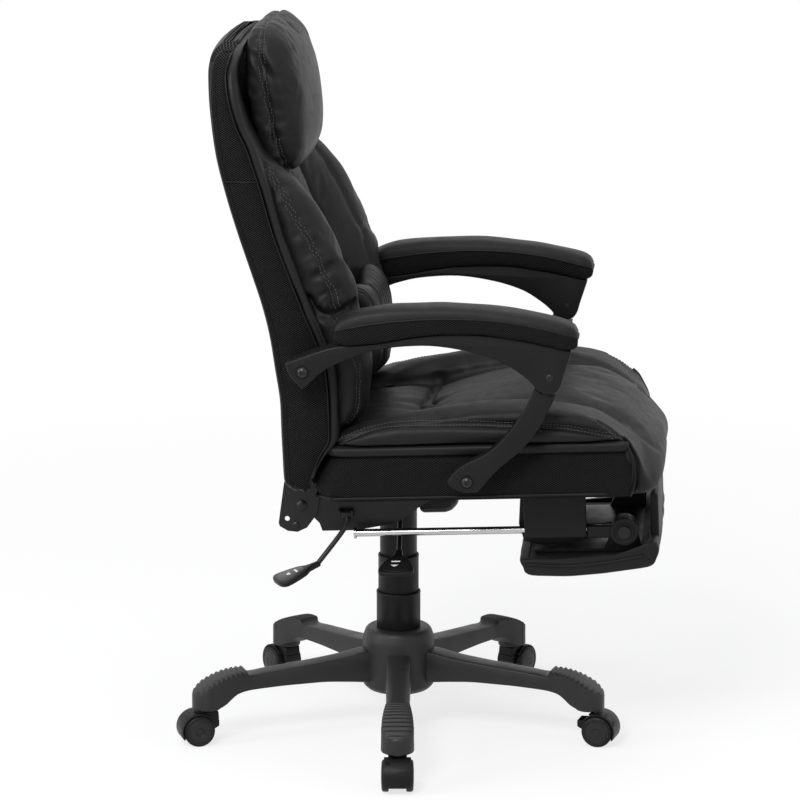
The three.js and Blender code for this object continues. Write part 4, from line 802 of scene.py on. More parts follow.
def billow(thing, height, scale, stretch=(1, 1, 1), seed=0.0, held=None):
    """Low uneven fullness of stuffed leather, from smooth noise."""
    mesh = thing.data
    points, normals = vertex_array(mesh), vertex_normals(mesh)
    places = points / scale * np.array(stretch)
    values = np.array([noise.noise(Vector(p) + Vector((seed, 0, 0))) for p in places])
    if held is not None:
        values = values * held
    set_vertices(mesh, points + normals * (values * height)[:, None])


STITCH_ROUND = 5


def stitches(name, thing, lines, offset=0.0042, pitch=0.0052, length=0.0037, radius=0.00065):
    """Rows of single stitches, on both sides of each seam line, laid on the piece's surface."""
    tree = surface_tree(thing)
    points, faces = [], []
    for line in lines:
        total = np.linalg.norm(np.diff(line, axis=0), axis=1).sum()
        places = resampled(line, max(3, int(total / pitch)))
        for i in range(1, len(places) - 1):
            forward = Vector(places[i + 1] - places[i - 1]).normalized()
            near = tree.find_nearest(Vector(places[i]))
            normal = near[1]
            if normal.dot(Vector(places[i]) - near[0]) < 0 and near[3] > 0.004:
                continue
            side = forward.cross(normal).normalized()
            for sign in (-1, 1):
                at = tree.find_nearest(near[0] + side * sign * offset)
                out = at[1]
                along = (forward - out * forward.dot(out)).normalized()
                across = along.cross(out)
                centre = at[0] + out * radius * 0.35
                start = len(points)
                for end, size in ((-0.5, 0.3), (-0.32, 1), (0.32, 1), (0.5, 0.3)):
                    for k in range(STITCH_ROUND):
                        a = 2 * math.pi * k / STITCH_ROUND
                        points.append(centre + along * length * end
                                      + (across * math.cos(a) + out * math.sin(a)) * radius * size)
                for ring in range(3):
                    for k in range(STITCH_ROUND):
                        m = (k + 1) % STITCH_ROUND
                        low, high = start + ring * STITCH_ROUND, start + (ring + 1) * STITCH_ROUND
                        faces.append((low + k, high + k, high + m, low + m))
                faces.append(tuple(start + k for k in range(STITCH_ROUND)))
                faces.append(tuple(start + 3 * STITCH_ROUND + k for k in reversed(range(STITCH_ROUND))))
    return as_object(name, points, faces, THREAD)


def piping(name, thing, line, radius=0.0026, lift=0.6, closed=False, sides=8):
    """A leather cord sewn on the piece along a line."""
    tree = surface_tree(thing)
    places = []
    for p in line:
        near = tree.find_nearest(Vector(p))
        places.append(near[0] + near[1] * radius * lift)
    places = np.array(places)
    for _ in range(3):
        if closed:
            places = (np.roll(places, 1, 0) + 2 * places + np.roll(places, -1, 0)) / 4
        else:
            places[1:-1] = (places[:-2] + 2 * places[1:-1] + places[2:]) / 4
    return tube(name, places, radius, PIPING, sides, closed)


CLOTH_FRAMES = 20


def puff(thing, voxel, cap, pinned, pressure=4.0, slack=0.03, bending=0.4):
    """Remeshes a piece and swells it with a cloth simulation that is pinned along its seams."""
    bpy.context.view_layer.objects.active = thing
    modifier = thing.modifiers.new("remesh", "REMESH")
    modifier.mode = "VOXEL"
    modifier.voxel_size = voxel
    bake_modifiers(thing)
    mesh = thing.data
    before = vertex_array(mesh)
    group = thing.vertex_groups.new(name="held")
    for index, weight in enumerate(pinned(before)):
        if weight > 0.01:
            group.add([index], float(min(weight, 1)), "REPLACE")
    cloth = thing.modifiers.new("cloth", "CLOTH")
    cloth.settings.effector_weights.gravity = 0
    cloth.settings.use_pressure = True
    cloth.settings.uniform_pressure_force = pressure
    cloth.settings.vertex_group_mass = "held"
    cloth.settings.shrink_min = -slack
    cloth.settings.shrink_max = -slack
    cloth.settings.bending_stiffness = bending
    cloth.settings.quality = 4
    cloth.point_cache.frame_start = 1
    cloth.point_cache.frame_end = CLOTH_FRAMES
    for step in range(1, CLOTH_FRAMES + 1):
        bpy.context.scene.frame_set(step)
    bake_modifiers(thing)
    bpy.context.scene.frame_set(1)
    mesh = thing.data
    after = vertex_array(mesh)
    move = after - before
    far = np.linalg.norm(move, axis=1)
    move *= (np.minimum(far, cap) / np.maximum(far, 1e-9))[:, None]
    set_vertices(mesh, before + move)
    thing.vertex_groups.clear()
    finish_mesh(thing, subdivide=1)
    thing.data.shade_smooth()


def smooth_surface(thing, rounds=4, factor=0.5):
    modifier = thing.modifiers.new("smooth", "SMOOTH")
    modifier.factor = factor
    modifier.iterations = rounds
    bake_modifiers(thing)


# Seat: cushion with bolsters and front roll, on a leather band above the mesh boxing
ROLL_ROUND = 30
ROLL_REACH = 3
PANEL_SWELL = 7
PANEL_PLACE = 249.3


def seat_ring(share, width, floor_share, bolster, middle, profile):
    """One ring of the seat cushion at a share along it, with round shoulders on the front roll."""
    if share <= 1:
        x = SEAT_START + share * (BOXING_FRONT + FIT - SEAT_START)
        floor = BAND_TOP
    else:
        x = BOXING_FRONT + FIT + (share - 1) * (SEAT_FRONT + ROLL_REACH - BOXING_FRONT - FIT)
        floor = BOXING_FLOOR + max(floor_share, 0) * (BOXING_TOP + FIT - BOXING_FLOOR)
    base = BOXING_TOP + FIT
    top_middle, top_bolster = base + middle * CROWN_RISE, base + bolster * CROWN_RISE
    rounding = ROLL_ROUND * min(max((share - 1.16) / 0.4, 0), 1)
    side = []
    for across, blend, channel in profile:
        top = top_middle + (top_bolster - top_middle) * blend - channel * CROWN_RISE
        drop = min(rounding * (max(across - 0.62, 0) / 0.365) ** 2.4, 0.55 * max(top - floor, 0))
        side.append((across * width * SEAT_HALF, max(top - drop, floor + 3)))
    tall = side[-1][1] - floor
    edge = width * SEAT_HALF
    flank = [side[-2], side[-1], (edge - 0.6, floor + tall * 0.7), (edge - 1, floor + tall * 0.42),
             (edge - 4, floor + tall * 0.16), (edge - 10, floor)]
    side += [tuple(p) for p in catmull(flank, 4)[5:]]
    side.append((0.0, floor))
    ring = [(x, y, z) for y, z in side] + [(x, -y, z) for y, z in side[-2:0:-1]]
    return [seat_point(*p) for p in ring]


# Seams of the seat, in its own frame
SEAT_SIDE_SEAM = [
    (-78, 244, 86), (-62, 248, 101), (-45, 249, 109), (-19, 249.5, 118), (28, 250, 126), (117, 250, 127),
    (198, 250, 123), (284, 249, 116.5), (345, 247, 104), (369, 245, 98),
]
SEAT_FRONT_SEAM = [(330, 236, 140), (352, 243, 126), (374, 247, 106), (386, 247, 90), (394, 246, 59),
                   (387, 244, 17), (374, 243, 6)]
SEAT_CHANNEL = [(-70, 146, 98), (-20, 148, 108), (55, 150, 112), (120, 150, 125), (200, 150, 133),
                (280, 150, 134), (318, 150, 130)]
SEAT_CROSS = [(55, -150, 112), (52, -75, 104), (50, 0, 103), (52, 75, 104), (55, 150, 112)]


def swell_panels(seat):
    """Fuller side panels between the double seam and the crease above the band."""
    points = vertex_array(seat.data)
    local = (points - np.array(seat_point(0, 0, 0))) @ np.array([SEAT_FORWARD, SEAT_LEFT, SEAT_UP]).T / MM
    seam = np.array(SEAT_SIDE_SEAM)
    rise = np.interp(local[:, 0], seam[:, 0], seam[:, 2])
    share = np.clip((local[:, 2] - BAND_TOP) / np.maximum(rise - BAND_TOP, 6), 0, 1)
    ends = np.clip((local[:, 0] + 76) / 50, 0, 1) * np.clip((368 - local[:, 0]) / 50, 0, 1)
    outer = np.clip((np.abs(local[:, 1]) - 222) / 12, 0, 1) * ends
    height = np.clip((rise + 7 - local[:, 2]) / 9, 0, 1) * np.clip((local[:, 2] - BAND_TOP) / 3, 0, 1)
    even = 0.9 * outer * height * (PANEL_PLACE - np.abs(local[:, 1]))
    out = (PANEL_SWELL * np.sin(math.pi * share) ** 0.8 * outer + even) * np.sign(local[:, 1])
    set_vertices(seat.data, points + (out * MM)[:, None] * np.array(SEAT_LEFT))


def make_seat():
    shares = np.concatenate([np.linspace(0, 1, 72), np.linspace(1.004, 2, 40)])
    values = smooth_table(SEAT_SHARES, shares)
    for share, row in zip(shares, values):
        if 1 < share < 1.06:
            row[1] = 0.02
    profile = [(a, *v) for a, v in zip(np.linspace(0, 0.985, 34), smooth_table(SEAT_ACROSS, np.linspace(0, 0.985, 34)))]
    rings = [seat_ring(share, *row, profile) for share, row in zip(shares, values)]
    seat = as_object("seat_cushion_leather", *lofted(rings), LEATHER)
    side = seat_line(SEAT_SIDE_SEAM)
    front = seat_line(SEAT_FRONT_SEAM)
    channel = seat_line(SEAT_CHANNEL)
    cross = seat_line(SEAT_CROSS)
    lines = [side, mirrored_line(side), front, mirrored_line(front), channel, mirrored_line(channel), cross]

    def pinned(points):
        held = np.zeros(len(points))
        for line in lines:
            gap, _ = near_line(points, line)
            held = np.maximum(held, np.clip(1.25 - gap / 0.008, 0, 1))
        local = (points - np.array(seat_point(0, 0, 0))) @ np.array([SEAT_FORWARD, SEAT_LEFT, SEAT_UP]).T / MM
        under = np.clip((BAND_TOP + 8 - local[:, 2]) / 5, 0, 1) * (local[:, 0] < BOXING_FRONT)
        behind = np.clip((BOXING_FRONT + 6 - local[:, 0]) / 4, 0, 1) * (local[:, 2] < BAND_TOP + 4)
        rear = np.clip((-40 - local[:, 0]) / 25, 0, 1)
        flank = (np.abs(local[:, 1]) > 232) * np.clip((90 - local[:, 2]) / 8, 0, 1) * (local[:, 0] < 404)
        return np.maximum.reduce([held, under, behind, rear, flank])

    puff(seat, 0.006, 0.022, pinned, pressure=2.6, slack=0.004, bending=2.0)
    smooth_surface(seat, 18)
    swell_panels(seat)
    side_on, front_on = pressed(seat, side, SEAT_LEFT), snapped(seat, front)
    channel_on, cross_on = snapped(seat, channel), snapped(seat, cross)
    for i, line in enumerate((side_on, mirrored_line(side_on))):
        sew(seat, line, 0.0055, 0.006, 0.0003, 0.016, 0.018, seed=1 + i, fade=0.03)
    for i, line in enumerate((front_on, mirrored_line(front_on))):
        sew(seat, line, 0.006, 0.0045, 0.0004, 0.02, 0.02, seed=3 + i, fade=0.012)
    for i, line in enumerate((channel_on, mirrored_line(channel_on))):
        sew(seat, line, 0.006, 0.009, 0.0015, 0.03, 0.03, seed=5 + i, fade=0.06)
    sew(seat, cross_on, 0.008, 0.008, 0.0035, 0.022, 0.045, seed=8)
    for y in (-150, 0, 150):
        swell(seat, seat_point(54, y, 108), (0.022, 0.022, 0.03), -0.006)
    billow(seat, 0.0016, 0.12, (1, 0.6, 1), 3.1)
    side_on, front_on = pressed(seat, side, SEAT_LEFT), snapped(seat, front)
    seat = seam_pieces("seat", seat, "seat", "leather", [side_on, mirrored_line(side_on), front_on, mirrored_line(front_on)])
    for k, offset in enumerate((-8, 8)):
        rows = np.array(SEAT_FRONT_SEAM, float)
        run = np.gradient(rows[:, [0, 2]], axis=0)
        run /= np.linalg.norm(run, axis=1)[:, None]
        rows[:, 0] += run[:, 1] * offset
        rows[:, 2] -= run[:, 0] * offset
        cord = snapped(seat, seat_line(rows[3 if offset > 0 else 2:-1]))
        for name, line in (("right", mirrored_line(cord)), ("left", cord)):
            settle(piping(f"seat_front_piping_{name}_{k}", seat, line, 0.0024, 0.7, sides=6), "seat", "leather")
    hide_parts("seat_cushion")
    make_band()


def seam_pieces(name, thing, body, slot, lines):
    settle(thing, body, slot)
    settle(stitches(name + "_stitching", thing, lines), body, slot)
    return thing


BAND_REACH = 7


def make_band():
    """Leather band between the boxing and the cushion."""
    rings = []
    length = BOXING_FRONT - SEAT_START + 14 + BAND_REACH
    for inset, z in ((1.2, BOXING_TOP - 2), (0.2, BOXING_TOP), (-1, BOXING_TOP + 4), (-1.4, BOXING_TOP + 8),
                     (0.2, BAND_TOP - 2.5), (5, BAND_TOP - 0.4)):
        ring = []
        half_x, half_y, corner = length / 2 - inset, SEAT_HALF + 0.5 - inset, 44
        for sign_x, sign_y, turn in ((1, 1, 0), (-1, 1, 1), (-1, -1, 2), (1, -1, 3)):
            tight = 10 if sign_x > 0 else corner
            for k in range(9):
                a = (turn + k / 8) * math.pi / 2
                ring.append(seat_point(SEAT_START - 14 + length / 2 + sign_x * (half_x - tight) + tight * math.cos(a),
                                       sign_y * (half_y - tight) + tight * math.sin(a), z))
        rings.append(ring)
    band = as_object("seat_band", *lofted(rings), LEATHER)
    sharpen(band, 70)
    billow(band, 0.0016, 0.05, (1, 1, 1), 9.0)
    settle(band, "seat", "leather")


def rounded_outline(x0, x1, half_y, corner, steps=8):
    ring = []
    middle = (x0 + x1) / 2
    half_x = (x1 - x0) / 2
    for sign_x, sign_y, turn in ((1, 1, 0), (-1, 1, 1), (-1, -1, 2), (1, -1, 3)):
        for k in range(steps + 1):
            a = (turn + k / steps) * math.pi / 2
            ring.append((middle + sign_x * (half_x - corner) + corner * math.cos(a),
                         sign_y * (half_y - corner) + corner * math.sin(a)))
    return ring


BOXING_SHARES = [[0, 0.9, 0.3], [0.12, 0.3, 0.12], [0.36, 0, 0], [0.7, 0.2, 0.45], [1, 1, 1]]
BOXING_REAR = -110
BOXING_REAR_SLOPE = 24
CORNER_REAR = 300
CORNER_FRONT = 386


def make_boxing():
    """Mesh-covered side wall of the seat, open inside for the board, with piped edges."""
    shares = np.linspace(0, 1, 13)
    values = smooth_table(BOXING_SHARES, shares)
    outer = []
    for share, (inset, rear) in zip(shares, values):
        z = BOXING_FLOOR + share * (BOXING_TOP - BOXING_FLOOR)
        spare = max(inset, 0) * BOXING_BULGE
        x0 = BOXING_REAR + max(rear, 0) * BOXING_REAR_SLOPE
        outer.append([seat_point(x, y, z) for x, y in rounded_outline(x0, BOXING_FRONT - spare * 0.2, SEAT_HALF - spare, 48, 12)])
    points, faces = lofted(outer, caps=False)
    thing = as_object("seat_boxing_mesh", points, faces, MESH)
    cap_top = as_object("boxing_top", *flat_cap(outer[-1], False), BOARD)
    floor_ring = [seat_point(x, y, BOXING_FLOOR) for x, y in
                  rounded_outline(BOXING_REAR + 14 - FIT, BOXING_FRONT - 15 + FIT, 212.3, 4, 12)]
    ceiling = [seat_point(x, y, 26.3) for x, y in
               rounded_outline(BOXING_REAR + 14 - FIT, BOXING_FRONT - 15 + FIT, 212.3, 4, 12)]
    count = len(floor_ring)
    rim = [tuple(p) for p in outer[0] + floor_ring + ceiling]
    rim_faces = []
    for j in range(count):
        k = (j + 1) % count
        rim_faces.append((j, j + count, k + count, k))
        rim_faces.append((j + count, j + 2 * count, k + 2 * count, k + count))
    rim_faces.append(tuple(range(2 * count, 3 * count)))
    under = as_object("boxing_under", rim, rim_faces, BOARD)
    sharpen(under, 40)
    thing = joined("seat_boxing_mesh", [thing, cap_top, under])
    finish_mesh(thing, weld=0.00002)
    sharpen(thing, 50)
    settle(thing, "seat", "mesh_fabric", "seat_boxing")
    low = catmull([Vector(p) for p in outer[1]], 2, closed=True)
    settle(tube("seat_piping_low", resampled(low, 260, True), 0.0022, PIPING, 8, True), "seat", "leather")
    for name, side in (("left", 1), ("right", -1)):
        make_boxing_corner(name, side)


def corner_front(share):
    """Front end of the mesh wall at a share of its height: it bows forward to the roll's seam."""
    return CORNER_FRONT - 8 * abs(2 * share - 1.05) ** 2.2


def make_boxing_corner(name, side):
    """Front end of the mesh side wall, which wraps the roll's flank up to its seam, and its piping."""
    rings, front = [], []
    for share in np.linspace(0, 1, 17):
        inset = max(smooth_table(BOXING_SHARES, [share])[0][0], 0)
        z = BOXING_FLOOR + share * (BOXING_TOP - 1 - BOXING_FLOOR)
        wall = SEAT_HALF + 0.7 - inset * BOXING_BULGE
        reach = corner_front(share)
        skin = []
        for x in np.linspace(CORNER_REAR, reach, 16):
            tuck = 5.5 * max(0, 1 - (reach - x) / 15) ** 2
            skin.append((x, wall - tuck - 1.4 * max(0, 1 - (x - CORNER_REAR) / 12)))
        ring = skin + [(x, y - 5) for x, y in reversed(skin)]
        rings.append([seat_point(x, side * y, z) for x, y in ring])
        front.append(seat_point(reach + 1.2, side * (skin[-1][1] - 0.6), z))
    patch = as_object(f"seat_boxing_corner_{name}", *lofted(rings), MESH)
    sharpen(patch, 50)
    settle(patch, "seat", "mesh_fabric")
    settle(tube(f"seat_corner_piping_{name}", resampled(catmull(front, 3), 60), 0.0024, PIPING, 8), "seat", "leather")


def flat_cap(ring, flip):
    ring = [tuple(p) for p in ring]
    middle = tuple(np.mean(ring, axis=0))
    faces = []
    for j in range(len(ring)):
        k = (j + 1) % len(ring)
        faces.append((len(ring), k, j) if flip else (len(ring), j, k))
    return ring + [middle], faces


# Back: shell with mesh side strip and leather rear, welt, cushion with bolsters, pillows
def shell_at(share):
    """Rear face, front face and half width of the shell at a share of its height."""
    share = np.clip(share, 0, 1)
    lean, thick, width = smooth_table(SHELL_SHARES, [share])[0]
    rear = -BACK_REAR - lean * BACK_LEAN
    return rear, rear + thick * SHELL_THICKNESS, width * BACK_HALF


def hollow_at(y):
    return SHELL_HOLLOW * (1 - (y / BACK_HALF) ** 2)


REAR_STRIP = 9
CAP_START = 0.99
CROSS_SEAM = 0.711


def make_shell():
    shares = np.concatenate([np.linspace(0, 0.03, 5), np.linspace(0.045, 0.94, 54), np.linspace(0.95, 1, 16)])
    across = np.linspace(-1, 1, 29)
    rings = []
    for share in shares:
        rear, front, half = shell_at(share)
        z = BACK_FOOT + share * BACK_HEIGHT
        corner = min(SHELL_CORNER, (front - rear) / 3)
        strip = min(REAR_STRIP, (front - rear) * 0.4)
        ring = [(rear - hollow_at(a * (half - corner)), a * (half - corner)) for a in across]
        turn = [(rear + corner * (1 - math.cos(t)), half - corner + corner * math.sin(t)) for t in (0.5, 1.0, 1.5)]
        bulge = 2.5 * min(1, (front - rear) / 40)
        sides = turn + [(rear + corner + 0.1, half), (rear + strip + 1, half - 0.6),
                        (rear + strip + 3, half + 0.6), ((rear + strip + front) / 2, half + bulge),
                        (front - 3, half + 0.4), (front - 0.5, half - 2)]
        ring += sides
        ring += [(front - hollow_at(a * (half - 4)), a * (half - 4)) for a in reversed(across)]
        ring += [(x, -y) for x, y in reversed(sides)]
        rings.append([chair_point(x, y, z) for x, y in ring])
    points, faces = lofted(rings, plain=True)
    shell = as_object("back_shell_cover", points, faces, MESH)
    shell.data.materials.append(LEATHER)
    shell.data.materials.append(BOARD)
    for face in shell.data.polygons:
        spot = (face.center - COLUMN) / MM
        share = (spot.z - BACK_FOOT) / BACK_HEIGHT
        rear, front, half = shell_at(share)
        strip = min(REAR_STRIP, (front - rear) * 0.4)
        place = spot.x + hollow_at(spot.y) if abs(spot.y) < half - 12 else spot.x
        if place < rear + 3 and face.normal.x < -0.3:
            face.material_index = 1
        elif face.normal.z < -0.7:
            face.material_index = 2
    sharpen(shell, 60)
    flat_caps(shell)
    settle(shell, "back", "mesh_fabric", "back_shell")
    for kind, share in (("cap", CAP_START), ("side", CROSS_SEAM)):
        rear, front, half = shell_at(share)
        z = BACK_FOOT + share * BACK_HEIGHT
        line = np.array([chair_point(rear + 5 + t * (front - rear - 7), half + 1.2 + 5 * t * (1 - t), z)
                         for t in np.linspace(0, 1, 12)])
        for name, seam in (("right", mirrored_line(line)), ("left", line)):
            settle(tube(f"back_{kind}_seam_{name}", seam, 0.0011, PIPING, 6), "back", "leather")
    for name, offset in (("back_piping_rear", 0), ("back_piping_front", 1)):
        line = []
        for share in np.linspace(0.02, 0.985, 90):
            rear, front, half = shell_at(share)
            x = rear + 2.6 if offset == 0 else front - 1.5
            line.append(chair_point(x, half - 2.4 if offset == 0 else half + 0.6, BACK_FOOT + share * BACK_HEIGHT))
        rear, front, half = shell_at(1)
        x = rear + 6 if offset == 0 else front - 2
        over = [chair_point(x - hollow_at(y) + hollow_at(half - 14), y, BACK_FOOT + BACK_HEIGHT + 0.2)
                for y in np.linspace(half - 14, -half + 14, 14)]
        path = [*line, *over, *[Vector((p.x, 2 * COLUMN.y - p.y, p.z)) for p in reversed(line)]]
        path = resampled(catmull(path, 2), 420)
        settle(tube(name, path, 0.0013, PIPING, 8), "back", "leather")


def make_welt():
    """Leather welt round the front edge of the shell, on which the cushion is sewn."""
    shares = np.concatenate([np.linspace(0.06, 0.94, 56), np.linspace(0.95, 0.996, 12)])
    rings = []
    for share in shares:
        _, front, half = shell_at(share)
        z = BACK_FOOT + share * BACK_HEIGHT
        deep = WELT_DEPTH * min(1, (share - 0.04) * 12, (1.03 - share) * 22)
        edge = half - 1.5
        side = [(front + 0.35, edge - 1.5), (front + deep * 0.3, edge + 0.8), (front + deep * 0.7, edge + 0.2),
                (front + deep * 0.95, edge - 3), (front + deep, edge - 9)]
        ring = [(x, y) for x, y in side]
        for a in np.linspace(0.93, -0.93, 21):
            ring.append((front + deep - hollow_at(a * edge) + hollow_at(edge * 0.93), a * (edge - 9)))
        ring += [(x, -y) for x, y in reversed(side)]
        for a in np.linspace(-0.95, 0.95, 15):
            ring.append((front + 0.35 - hollow_at(a * edge), a * (edge - 1.5)))
        rings.append([chair_point(x, y, z) for x, y in ring])
    welt = as_object("back_welt", *lofted(rings, plain=True), LEATHER)
    billow(welt, 0.0014, 0.05, (1, 1, 1), 5.0)
    sharpen(welt, 70)
    flat_caps(welt)
    settle(welt, "back", "leather")


# Seams of the back, in the chair's frame
BACK_SIDE_SEAM = [(-183, 214, 950), (-176, 215, 936), (-149, 216, 891), (-127, 216, 849), (-107, 216, 810),
                  (-87, 216, 767), (-79, 216, 731), (-62, 216, 690), (-47, 216, 648), (-43, 215, 608),
                  (-45, 214, 578), (-63, 213, 550)]
BACK_CHANNEL = [(-190, 148, 966), (-160, 150, 905), (-118, 150, 810), (-85, 150, 731), (-60, 150, 640),
                (-60, 150, 585), (-72, 150, 552)]
BACK_MIDDLE = [(-196, 70, 985), (-165, 70, 905), (-130, 70, 810), (-98, 70, 731), (-76, 70, 640), (-78, 70, 585),
               (-88, 70, 555)]
DIMPLE = (-134, 70, 819)
BACK_GATHER = [(-125, 236, 744), (-102, 225, 724), (-78, 212, 722), (-62, 190, 732)]


def back_ring(z, bolster, middle, width, profile):
    share = (z - BACK_FOOT) / BACK_HEIGHT
    _, front, half = shell_at(share)
    bolster_half = width * (half - 10) - 2
    side = []
    for across, blend, channel in profile:
        y = across * bolster_half
        reach = (middle + (bolster - middle) * blend - channel) * BACK_REACH
        side.append((front + max(reach, 6) - hollow_at(y), y))
    reach = bolster * BACK_REACH
    hollow = hollow_at(bolster_half)
    flank = [side[-2], side[-1], (front + reach * 0.52 - hollow, bolster_half + 1.5),
             (front + reach * 0.3 - hollow, bolster_half + 2.5), (front + min(7, reach * 0.3) - hollow, bolster_half - 4),
             (front + 1 - hollow, bolster_half - 14)]
    side += [tuple(p) for p in catmull(flank, 4)[5:]]
    rear = [(front + 1 - hollow_at(a * (bolster_half - 14)), a * (bolster_half - 14)) for a in np.linspace(1, -1, 15)[1:-1]]
    ring = [(x, y, z) for x, y in side] + [(x, y, z) for x, y in rear] + [(x, -y, z) for x, y in side[:0:-1]]
    return [chair_point(*p) for p in ring]


def make_back_cushion():
    shares = np.concatenate([np.linspace(0.13, 0.2, 9), np.linspace(0.21, 0.97, 80), np.linspace(0.975, 0.991, 4)])
    values = smooth_table(BACK_SHARES, shares)
    steps = np.linspace(0, 0.985, 36)
    profile = [(a, *v) for a, v in zip(steps, smooth_table(BACK_ACROSS, steps))]
    rings = [back_ring(BACK_FOOT + share * BACK_HEIGHT, *row, profile) for share, row in zip(shares, values)]
    back = as_object("back_cushion_leather", *lofted(rings, plain=True), LEATHER)
    side, channel = chair_line(BACK_SIDE_SEAM), chair_line(BACK_CHANNEL)
    middle, gather = chair_line(BACK_MIDDLE), chair_line(BACK_GATHER)
    lines = [side, channel, middle, gather]
    lines = lines + [mirrored_line(line) for line in lines]

    def pinned(points):
        held = np.zeros(len(points))
        for line in lines:
            gap, _ = near_line(points, line)
            held = np.maximum(held, np.clip(1.3 - gap / 0.009, 0, 1))
        local = (points - np.array(COLUMN)) / MM
        fronts = np.array([shell_at((z - BACK_FOOT) / BACK_HEIGHT)[1] for z in local[:, 2]])
        behind = np.clip((fronts - hollow_at(local[:, 1]) + 9 - local[:, 0]) / 4, 0, 1)
        high = np.clip((local[:, 2] - 950) / 40, 0, 1)
        low = np.clip((570 - local[:, 2]) / 20, 0, 1)
        return np.maximum.reduce([held, behind, high, low])

    puff(back, 0.006, 0.022, pinned, pressure=2.8, slack=0.006, bending=1.5)
    side_on, channel_on = snapped(back, side), snapped(back, channel)
    middle_on, gather_on = snapped(back, middle), snapped(back, gather)
    lower = side_on[(side_on[:, 2] > 0.735) & (side_on[:, 2] < 0.87)]
    upper = side_on[side_on[:, 2] > 0.88]
    for i, line in enumerate((side_on, mirrored_line(side_on))):
        sew(back, line, 0.004, 0.005, 0.0016, 0.02, 0.018, seed=11 + i)
    for i, line in enumerate((lower, mirrored_line(lower))):
        sew(back, line, 0, 0.009, 0.0095, 0.0125, 0.024, seed=41 + i, fade=0.03)
    for i, line in enumerate((upper, mirrored_line(upper))):
        sew(back, line, 0, 0.008, 0.008, 0.012, 0.018, seed=43 + i, fade=0.02)
    for i, line in enumerate((channel_on, mirrored_line(channel_on))):
        sew(back, line, 0.003, 0.007, 0.001, 0.03, 0.02, seed=13 + i)
    for i, line in enumerate((middle_on, mirrored_line(middle_on))):
        sew(back, line, 0.0045, 0.006, 0.001, 0.03, 0.02, seed=15 + i)
    for i, line in enumerate((gather_on, mirrored_line(gather_on))):
        sew(back, line, 0.011, 0.008, 0.006, 0.012, 0.034, seed=17 + i)
    for y in (-DIMPLE[1], DIMPLE[1]):
        swell(back, chair_point(DIMPLE[0], y, DIMPLE[2]), (0.012, 0.011, 0.014), -0.007)
    billow(back, 0.0016, 0.1, (1, 1, 0.7), 6.4)
    seam_pieces("back", back, "back", "leather", [side_on, mirrored_line(side_on)])
    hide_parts("back_cushion")
    return back


def pillow_section(height, thickness, steps, power=0.85):
    ring = []
    for i in range(steps):
        a = 2 * math.pi * i / steps
        reach = 0.62 if math.cos(a) > 0 else 0.38
        z = math.copysign(abs(math.sin(a)) ** power, math.sin(a)) * height / 2
        ring.append((math.cos(a) * reach * thickness, z))
    return ring


HEAD_SIZE = (77, 290, 238)
HEAD_HEIGHT = 1034
HEAD_TILT = math.radians(10)
HEAD_SHARES = [[0, 1], [0.4, 1], [0.72, 0.97], [0.86, 0.89], [0.94, 0.76], [0.985, 0.56], [1, 0.34]]


def head_matrix():
    front = shell_at((HEAD_HEIGHT - BACK_FOOT) / BACK_HEIGHT)[1]
    behind = front + 0.12 * BACK_REACH + HEAD_SIZE[0] * 0.38 - hollow_at(HEAD_SIZE[1] / 2)
    place = chair_point(behind + HEAD_SIZE[0] / 12, 0, HEAD_HEIGHT)
    return Matrix.Translation(place) @ Matrix.Rotation(-HEAD_TILT, 4, "Y")


